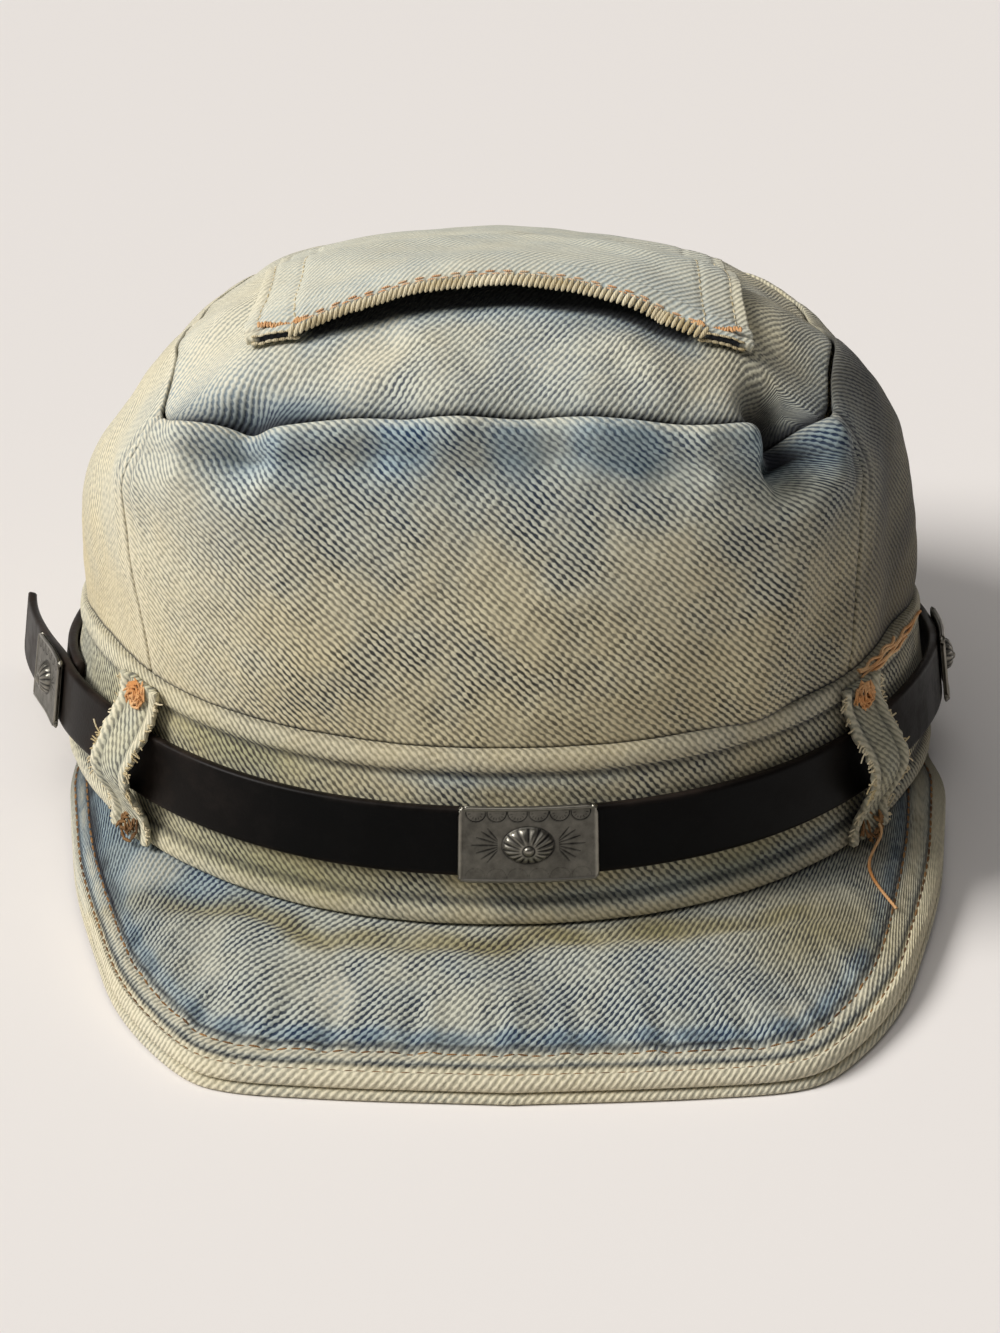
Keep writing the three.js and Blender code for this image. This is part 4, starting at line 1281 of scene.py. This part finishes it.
def silver_plate(name, degrees, node):
    middle = degrees / 360
    pace = np.linalg.norm(strap_point(middle + 0.001, 0.5, 0.0) - strap_point(middle - 0.001, 0.5, 0.0)) / 0.002

    def place(u, v):
        x, y = plate_plan(u, v)
        height, _ = stamp(x, y)
        return strap_point(middle + x / pace, 0.5 + y / STRAP_WIDTH, STRAP_WALL + GAP + 0.95 + height)

    def marks(u, v, points):
        return {"dark": stamp(*plate_plan(u, v))[1]}

    piece = sheet(name, 150, 90, place, aged_silver, wall=0.95, marks=marks)
    ride(piece, "plate_silver", node)


silver_plate("plate_front", 3.3, "concho_front")
silver_plate("plate_left", -76, "concho_left")
silver_plate("plate_right", 86, "concho_right")

# %% [markdown]
# ## Stitches, tacks and frays
#
# A stitch is a short rounded bar that lies half in the cloth. Rows of them follow the hems, and rows laid side by
# side make the bar tacks that hold loops and pocket corners. Frays are bent hairs of yarn, drawn as curves with
# a round section.


# %% Thread
def cotton(name, one, other):
    """Twisted thread whose colour wanders between two."""
    material = bpy.data.materials.new(name)
    material.use_nodes = True
    tree = material.node_tree
    tree.nodes.clear()
    place = put(tree, "ShaderNodeTexCoord").outputs["Object"]
    colour = tint(tree, noise(tree, place, 130, 3, 0.6, 0.35, 0.65), one, other)
    twist = put(tree, "ShaderNodeTexWave", {"Vector": place, "Scale": 900.0, "Distortion": 4.0}).outputs["Fac"]
    bump = put(tree, "ShaderNodeBump", {"Height": twist, "Distance": 0.00008, "Strength": 0.8}).outputs[0]
    fuzz = noise(tree, place, 800, 2, 0.5, 0.2, 0.8)
    shader = put(
        tree, "ShaderNodeBsdfPrincipled",
        {"Base Color": colour, "Roughness": spread(tree, fuzz, 0, 1, 0.7, 0.95), "Normal": bump},
    )
    shader.inputs["Specular IOR Level"].default_value = 0.25
    out = tree.nodes.new("ShaderNodeOutputMaterial")
    tree.links.new(shader.outputs[0], out.inputs[0])
    return material


amber = cotton("amber thread", paint(200, 138, 82), paint(232, 192, 144))
brown = cotton("brown thread", paint(88, 62, 42), paint(150, 112, 70))
faded = cotton("faded thread", paint(186, 168, 130), paint(96, 84, 62))
peach = cotton("peach thread", paint(214, 156, 108), paint(222, 196, 164))
yarn = cotton("cream yarn", paint(226, 214, 184), paint(186, 168, 128))


# %% Rows of stitches
bm = bmesh.new()
bmesh.ops.create_uvsphere(bm, u_segments=6, v_segments=5, radius=1)
stitch_shape = bpy.data.meshes.new("stitch")
bm.to_mesh(stitch_shape)
bm.free()


def stitch(bm, middle, along, out, length, thick):
    """One stitch, in millimetres of the rings' frame."""
    along = unit(along)
    side = unit(np.cross(out, along))
    up = np.cross(along, side)
    turn = np.stack([side * thick / 2, up * thick * 0.4, along * length / 2], 1) * MM
    place = Matrix.Translation(Vector((middle + STEP) * MM)) @ Matrix(turn.tolist()).to_4x4()
    shape = stitch_shape.copy()
    shape.transform(place)
    bm.from_mesh(shape)
    bpy.data.meshes.remove(shape)


def row(bm, points, outs, length=2.6, gap=0.7, thick=0.55, sink=0.05, seed=1):
    """Stitches along a path of points, each with its way out."""
    rng = np.random.default_rng(seed)
    reach = np.concatenate([[0], np.linalg.norm(np.diff(points, axis=0), axis=-1).cumsum()])

    def at(distance, values):
        return np.stack([np.interp(distance, reach, values[:, k]) for k in range(3)])

    for middle in np.arange(length / 2, reach[-1] - length / 2, length + gap):
        middle += rng.uniform(-0.15, 0.15)
        out = unit(at(middle, outs))
        along = at(middle + length / 2, points) - at(middle - length / 2, points)
        along = along + np.cross(out, along) * rng.uniform(-0.06, 0.1)
        stitch(bm, at(middle, points) - out * sink, along, out, length, thick)


def tack(bm, middle, across, out, width, height, count=11, thick=0.6, seed=1):
    """A bar tack: stitches side by side over a bar."""
    rng = np.random.default_rng(seed)
    across, out = unit(across), unit(out)
    down = np.cross(out, across)
    for k in range(count):
        share = (k + 0.5) / count - 0.5
        place = middle + across * share * width + down * rng.uniform(-0.25, 0.25)
        stitch(bm, place + out * 0.1, down + across * rng.uniform(-0.2, 0.3), out, height, thick)


def sewn(name, material, slot, fill):
    bm = bmesh.new()
    fill(bm)
    for face in bm.faces:
        face.smooth = True
    mesh = bpy.data.meshes.new(name)
    bm.to_mesh(mesh)
    print(name, "faces:", len(bm.faces))
    bm.free()
    ride(add_piece(name, mesh, material), slot)


# %% The peak's two rows
def peak_path(inside, start=-0.97, end=0.97):
    t = np.linspace(start, end, 900)
    length = peak_frame(t)[3]
    points = peak_surface(t, inside(t))
    points[:, 2] += peak_relief(t, inside(t), length)
    return points, np.tile([0.0, -0.12, 1.0], (len(t), 1))


sewn("stitches_peak_outer", brown, "peak_denim", lambda bm: row(bm, *peak_path(row_one), 2.2, 0.4, 0.65, seed=2))
sewn("stitches_peak_inner", brown, "peak_denim", lambda bm: row(bm, *peak_path(row_two), 2.2, 0.4, 0.6, seed=3))


# %% The pocket's rows and tacks
def pocket_point(a, inside):
    """A point of the pocket's face and its way out, an inside distance in from the mouth."""
    a, inside = np.broadcast_arrays(np.asarray(a, float), np.asarray(inside, float))
    length = np.subtract(*pocket_grid((a + 1) / 2, np.zeros_like(a))[:2:-1])
    v = (inside / length) ** (1 / 1.25)
    grid = pocket_grid((a + 1) / 2, v)
    return pocket_place((a + 1) / 2, v), outward(crown, *place_over(a * POCKET_WIDTH / 2, mix(*grid[3:], grid[1])))


def fill_pocket_rows(bm):
    row(bm, *pocket_point(np.linspace(-0.82, 0.82, 300), 3.1), 1.7, 0.7, 0.7, -0.1, seed=4)
    row(bm, *pocket_point(np.linspace(-0.8, 0.8, 300), 3.9), 1.9, 1.4, 0.55, -0.05, seed=14)


def fill_pocket_sides(bm):
    for side in (-1, 1):
        for to_side in (2.4, 8.5):
            a = side * (1 - to_side / POCKET_WIDTH * 2)
            row(bm, *pocket_point(np.full(300, a), np.linspace(4.5, 78, 300)), 2.2, 0.6, 0.5, 0.06, seed=5)


def fill_pocket_tacks(bm):
    for side in (-1, 1):
        for to_side, width, turn in ((5.2, 6.6, 0), (9.6, 2.4, 1)):
            a = np.array([side * (1 - to_side / POCKET_WIDTH * 2)])
            points, outs = pocket_point(a, np.array([3.0]))
            across = np.array([1.0, 0.25 * side * turn, 0.0])
            tack(bm, points[0] + outs[0] * 0.15, across, outs[0], width, 2.2, 12, 0.7, seed=6 + turn)


sewn("stitches_pocket", peach, "crown_denim", fill_pocket_rows)
sewn("stitches_pocket_sides", yarn, "crown_denim", fill_pocket_sides)


def fill_rope(bm):
    """The hem's worn edge: slanting ribs of cloth side by side, like a cord."""
    rng = np.random.default_rng(8)
    for a in np.arange(-0.83, 0.83, ROPE_PITCH / POCKET_WIDTH * 2):
        points, outs = pocket_point(np.array([a, a]), np.array([0.4, 2.4]))
        across = unit(points[1] - points[0])
        edge = np.cross(across, outs[0])
        along = across * 0.8 + outs[0] * 0.8 + edge * rng.uniform(0.45, 0.6)
        out = unit(outs[0] - across)
        place = points[0] - across * 0.25
        stitch(bm, place, along, out, rng.uniform(2.7, 3.1), rng.uniform(0.95, 1.1))
    for side in (-1, 1):
        points, outs = pocket_point(side * np.linspace(0.8, 0.985, 60), 0.1)
        row(bm, points - outs * 1.55 - [0, 0.2, 0], outs, 1.5, -0.2, 0.85, 0.0, seed=15)
        row(bm, points + [0, -0.05, 0], outs, 1.5, -0.2, 0.6, 0.0, seed=16)


sewn("rope_pocket", yarn, "crown_denim", fill_rope)
sewn("tacks_pocket", amber, "crown_denim", fill_pocket_tacks)


# %% The band's rows
def band_path(level, start=-math.pi, end=math.pi):
    angle = np.linspace(start, end, 1500)
    return band_outer(angle, np.full_like(angle, level)), flat_out(angle)


def fill_band(bm):
    for level in (1.1 * ROLL_SHARE, 1 - 1.1 * ROLL_SHARE):
        row(bm, *band_path(level), 2.3, 0.7, 0.45, 0.12, seed=7)


sewn("stitches_band", faded, "band_denim", fill_band)


# %% The loops' tacks
def knot(bm, middle, across, out, radius, count, seed):
    """A worn tack whose threads have drawn up into a knot."""
    rng = np.random.default_rng(seed)
    across, out = unit(across), unit(out)
    down = np.cross(out, across)
    for _ in range(count):
        turn, share = rng.uniform(0, 2 * math.pi), math.sqrt(rng.random())
        side = across * math.cos(turn) * 1.25 + down * math.sin(turn)
        along = down * math.cos(turn) - across * math.sin(turn) + rng.normal(size=3) * 0.35
        place = middle + side * radius * share + out * (0.1 + 1.1 * (1 - share) * rng.random())
        stitch(bm, place, along, out, rng.uniform(1.8, 3.2), rng.uniform(0.5, 0.8))


def fill_knots(v, radius, count):
    def fill(bm):
        for turn, seed, lift in ((-LOOP_ANGLE, 11, 0), (LOOP_ANGLE, 12, 0), (math.pi, 13, 0.9)):
            out = flat_out(np.array(turn))
            across = np.cross([0.0, 0.0, 1.0], out)
            middle = loop_surface(turn)(np.array(0.0), np.array(v)) + [0, 0, lift]
            knot(bm, middle, across, out + np.array([0, 0, 0.25]), radius, count, seed)

    return fill


sewn("knots_loops", amber, "loop_denim", fill_knots(0.93, 2.5, 60))
sewn("tacks_loops", brown, "loop_denim", fill_knots(0.06, 2.9, 30))


# %% Frays
def hairs(name, paths, radius, material, slot):
    """Bent hairs along paths of points, as curves with a round section made into a mesh."""
    curve = bpy.data.curves.new(name, "CURVE")
    curve.dimensions = "3D"
    curve.bevel_depth = radius * MM
    curve.bevel_resolution = 1
    curve.resolution_u = 3
    curve.use_fill_caps = True
    for path in paths:
        spline = curve.splines.new("NURBS")
        spline.points.add(len(path) - 1)
        for point, place in zip(spline.points, path):
            point.co = (*((np.asarray(place) + STEP) * MM), 1)
        spline.order_u = 3
        spline.use_endpoint_u = True
    drawn = bpy.data.objects.new(name, curve)
    mesh = bpy.data.meshes.new_from_object(drawn)
    mesh.name = name
    bpy.data.objects.remove(drawn)
    ride(add_piece(name, mesh, material), slot)
    print(name, "hairs:", len(paths))


def loop_frays(turn, seed):
    rng = np.random.default_rng(seed)
    surface = loop_surface(turn)
    out = flat_out(np.array(turn))
    across = np.cross([0.0, 0.0, 1.0], out)
    paths = []
    for side in (-1, 1):
        for v in rng.uniform(0.01, 0.99, 60):
            start = surface(np.array(side * LOOP_WIDTH * 0.42 * loop_waist(v)), np.array(v), LOOP_WALL - 0.4)
            reach = rng.uniform(0.2, 1.2) * (2.4 if rng.random() < 0.12 else 1)
            droop = np.array([0, 0, rng.uniform(-1.4, 0.9)])
            middle = start + across * side * (reach * 0.5 + 0.5) + out * rng.uniform(-0.2, 0.4)
            end = start + across * side * (reach + 0.6) + droop * reach + out * rng.uniform(-0.6, 0.5)
            paths.append([start, middle, end])
    return paths


def loose_threads():
    """A thread hanging from the right loop over the peak, and one that runs back from its tack along the band."""
    low = loop_surface(LOOP_ANGLE)(np.array(1.5), np.array(0.06))
    out = flat_out(np.array(LOOP_ANGLE))
    hanging = [low + out * 0.5, low + out * 1.8 + np.array([0.0, 0.0, -1.2])]
    t, inside = np.meshgrid(np.linspace(0.3, 0.95, 140), np.linspace(3, 34, 90))
    over = peak_surface(t, inside)
    for side, ahead, lift in ((-1.0, 4.5, 1.0), (-2.4, 9.0, 0.7), (-1.8, 13.5, 0.6), (0.4, 17.5, 0.6), (2.4, 20.5, 0.6)):
        target = low[:2] + np.array([side, -ahead])
        nearest = np.argmin(np.linalg.norm(over[..., :2] - target, axis=-1))
        hanging.append(over.reshape(-1, 3)[nearest] + np.array([0.0, 0.0, lift]))
    threads = [hanging]
    for offset, end in ((0.0, 0.44), (0.016, 0.34), (-0.016, 0.26), (0.03, 0.2)):
        angles = np.linspace(LOOP_ANGLE + 0.02, LOOP_ANGLE + end, 9)
        levels = 0.965 + offset + 0.012 * np.sin(np.arange(9) * 2.1 + offset * 90)
        threads.append(list(band_outer(angles, levels) + flat_out(angles) * 0.35))
    return threads


hairs("loose_threads", loose_threads(), 0.32, amber, "loop_denim")
all_frays = loop_frays(-LOOP_ANGLE, 21) + loop_frays(LOOP_ANGLE, 22) + loop_frays(math.pi, 23)
hairs("frays_loops", all_frays, 0.16, yarn, "loop_denim")

# %% [markdown]
# ## Floor, light and camera
#
# The cap stands on a plain pale floor. A wide soft light comes from the left and above, and little comes back
# from the right, so the right side falls into shade.

# %% Floor
bm = bmesh.new()
bmesh.ops.create_grid(bm, x_segments=1, y_segments=1, size=40)
floor_mesh = bpy.data.meshes.new("floor")
bm.to_mesh(floor_mesh)
bm.free()
floor = bpy.data.objects.new("floor", floor_mesh)
bpy.context.scene.collection.objects.link(floor)
floor_material = bpy.data.materials.new("pale floor")
floor_material.use_nodes = True
floor_shader = floor_material.node_tree.nodes["Principled BSDF"]
floor_shader.inputs["Base Color"].default_value = paint(236, 231, 228)
floor_shader.inputs["Roughness"].default_value = 0.8
floor_mesh.materials.append(floor_material)

# %% Light
world = bpy.data.worlds.new("studio")
bpy.context.scene.world = world
world.use_nodes = True
world.node_tree.nodes["Background"].inputs["Color"].default_value = (1.0, 0.985, 0.96, 1)
world.node_tree.nodes["Background"].inputs["Strength"].default_value = 0.08
beyond = world.node_tree.nodes.new("ShaderNodeBackground")
beyond.inputs["Color"].default_value = paint(232, 229, 225)
ray = world.node_tree.nodes.new("ShaderNodeLightPath")
both = world.node_tree.nodes.new("ShaderNodeMixShader")
wires = world.node_tree.links
wires.new(ray.outputs["Is Camera Ray"], both.inputs[0])
wires.new(world.node_tree.nodes["Background"].outputs[0], both.inputs[1])
wires.new(beyond.outputs[0], both.inputs[2])
wires.new(both.outputs[0], world.node_tree.nodes["World Output"].inputs["Surface"])


def sun(name, way, strength, angle, colour=(1, 1, 1)):
    data = bpy.data.lights.new(name, "SUN")
    data.energy = strength
    data.angle = math.radians(angle)
    data.color = colour
    lamp = bpy.data.objects.new(name, data)
    lamp.rotation_euler = Vector(way).to_track_quat("Z", "Y").to_euler()
    bpy.context.scene.collection.objects.link(lamp)


sun("window", (-0.85, -0.2, 0.75), 3.25, 26, (1.0, 0.985, 0.955))
sun("ceiling", (-0.1, -0.1, 1.0), 0.7, 60, (1.0, 0.99, 0.98))

# %% Camera
AIM = Vector((4.79, -15.18, 33.01)) * MM
TILT = math.radians(28)
camera_data = bpy.data.cameras.new("camera")
camera_data.sensor_fit = "AUTO"
camera_data.sensor_width = 36
camera_data.lens = 36 * 3465 / 1333
camera_data.shift_y = (670 - 666.5) / 1333
camera_data.clip_start = 0.01
camera = bpy.data.objects.new("camera", camera_data)
back = Vector((0, -math.cos(TILT), math.sin(TILT)))
camera.location = AIM + back * 0.7
camera.rotation_euler = back.to_track_quat("Z", "Y").to_euler()
bpy.context.scene.collection.objects.link(camera)
bpy.context.scene.camera = camera
bpy.context.scene.view_settings.view_transform = "Standard"
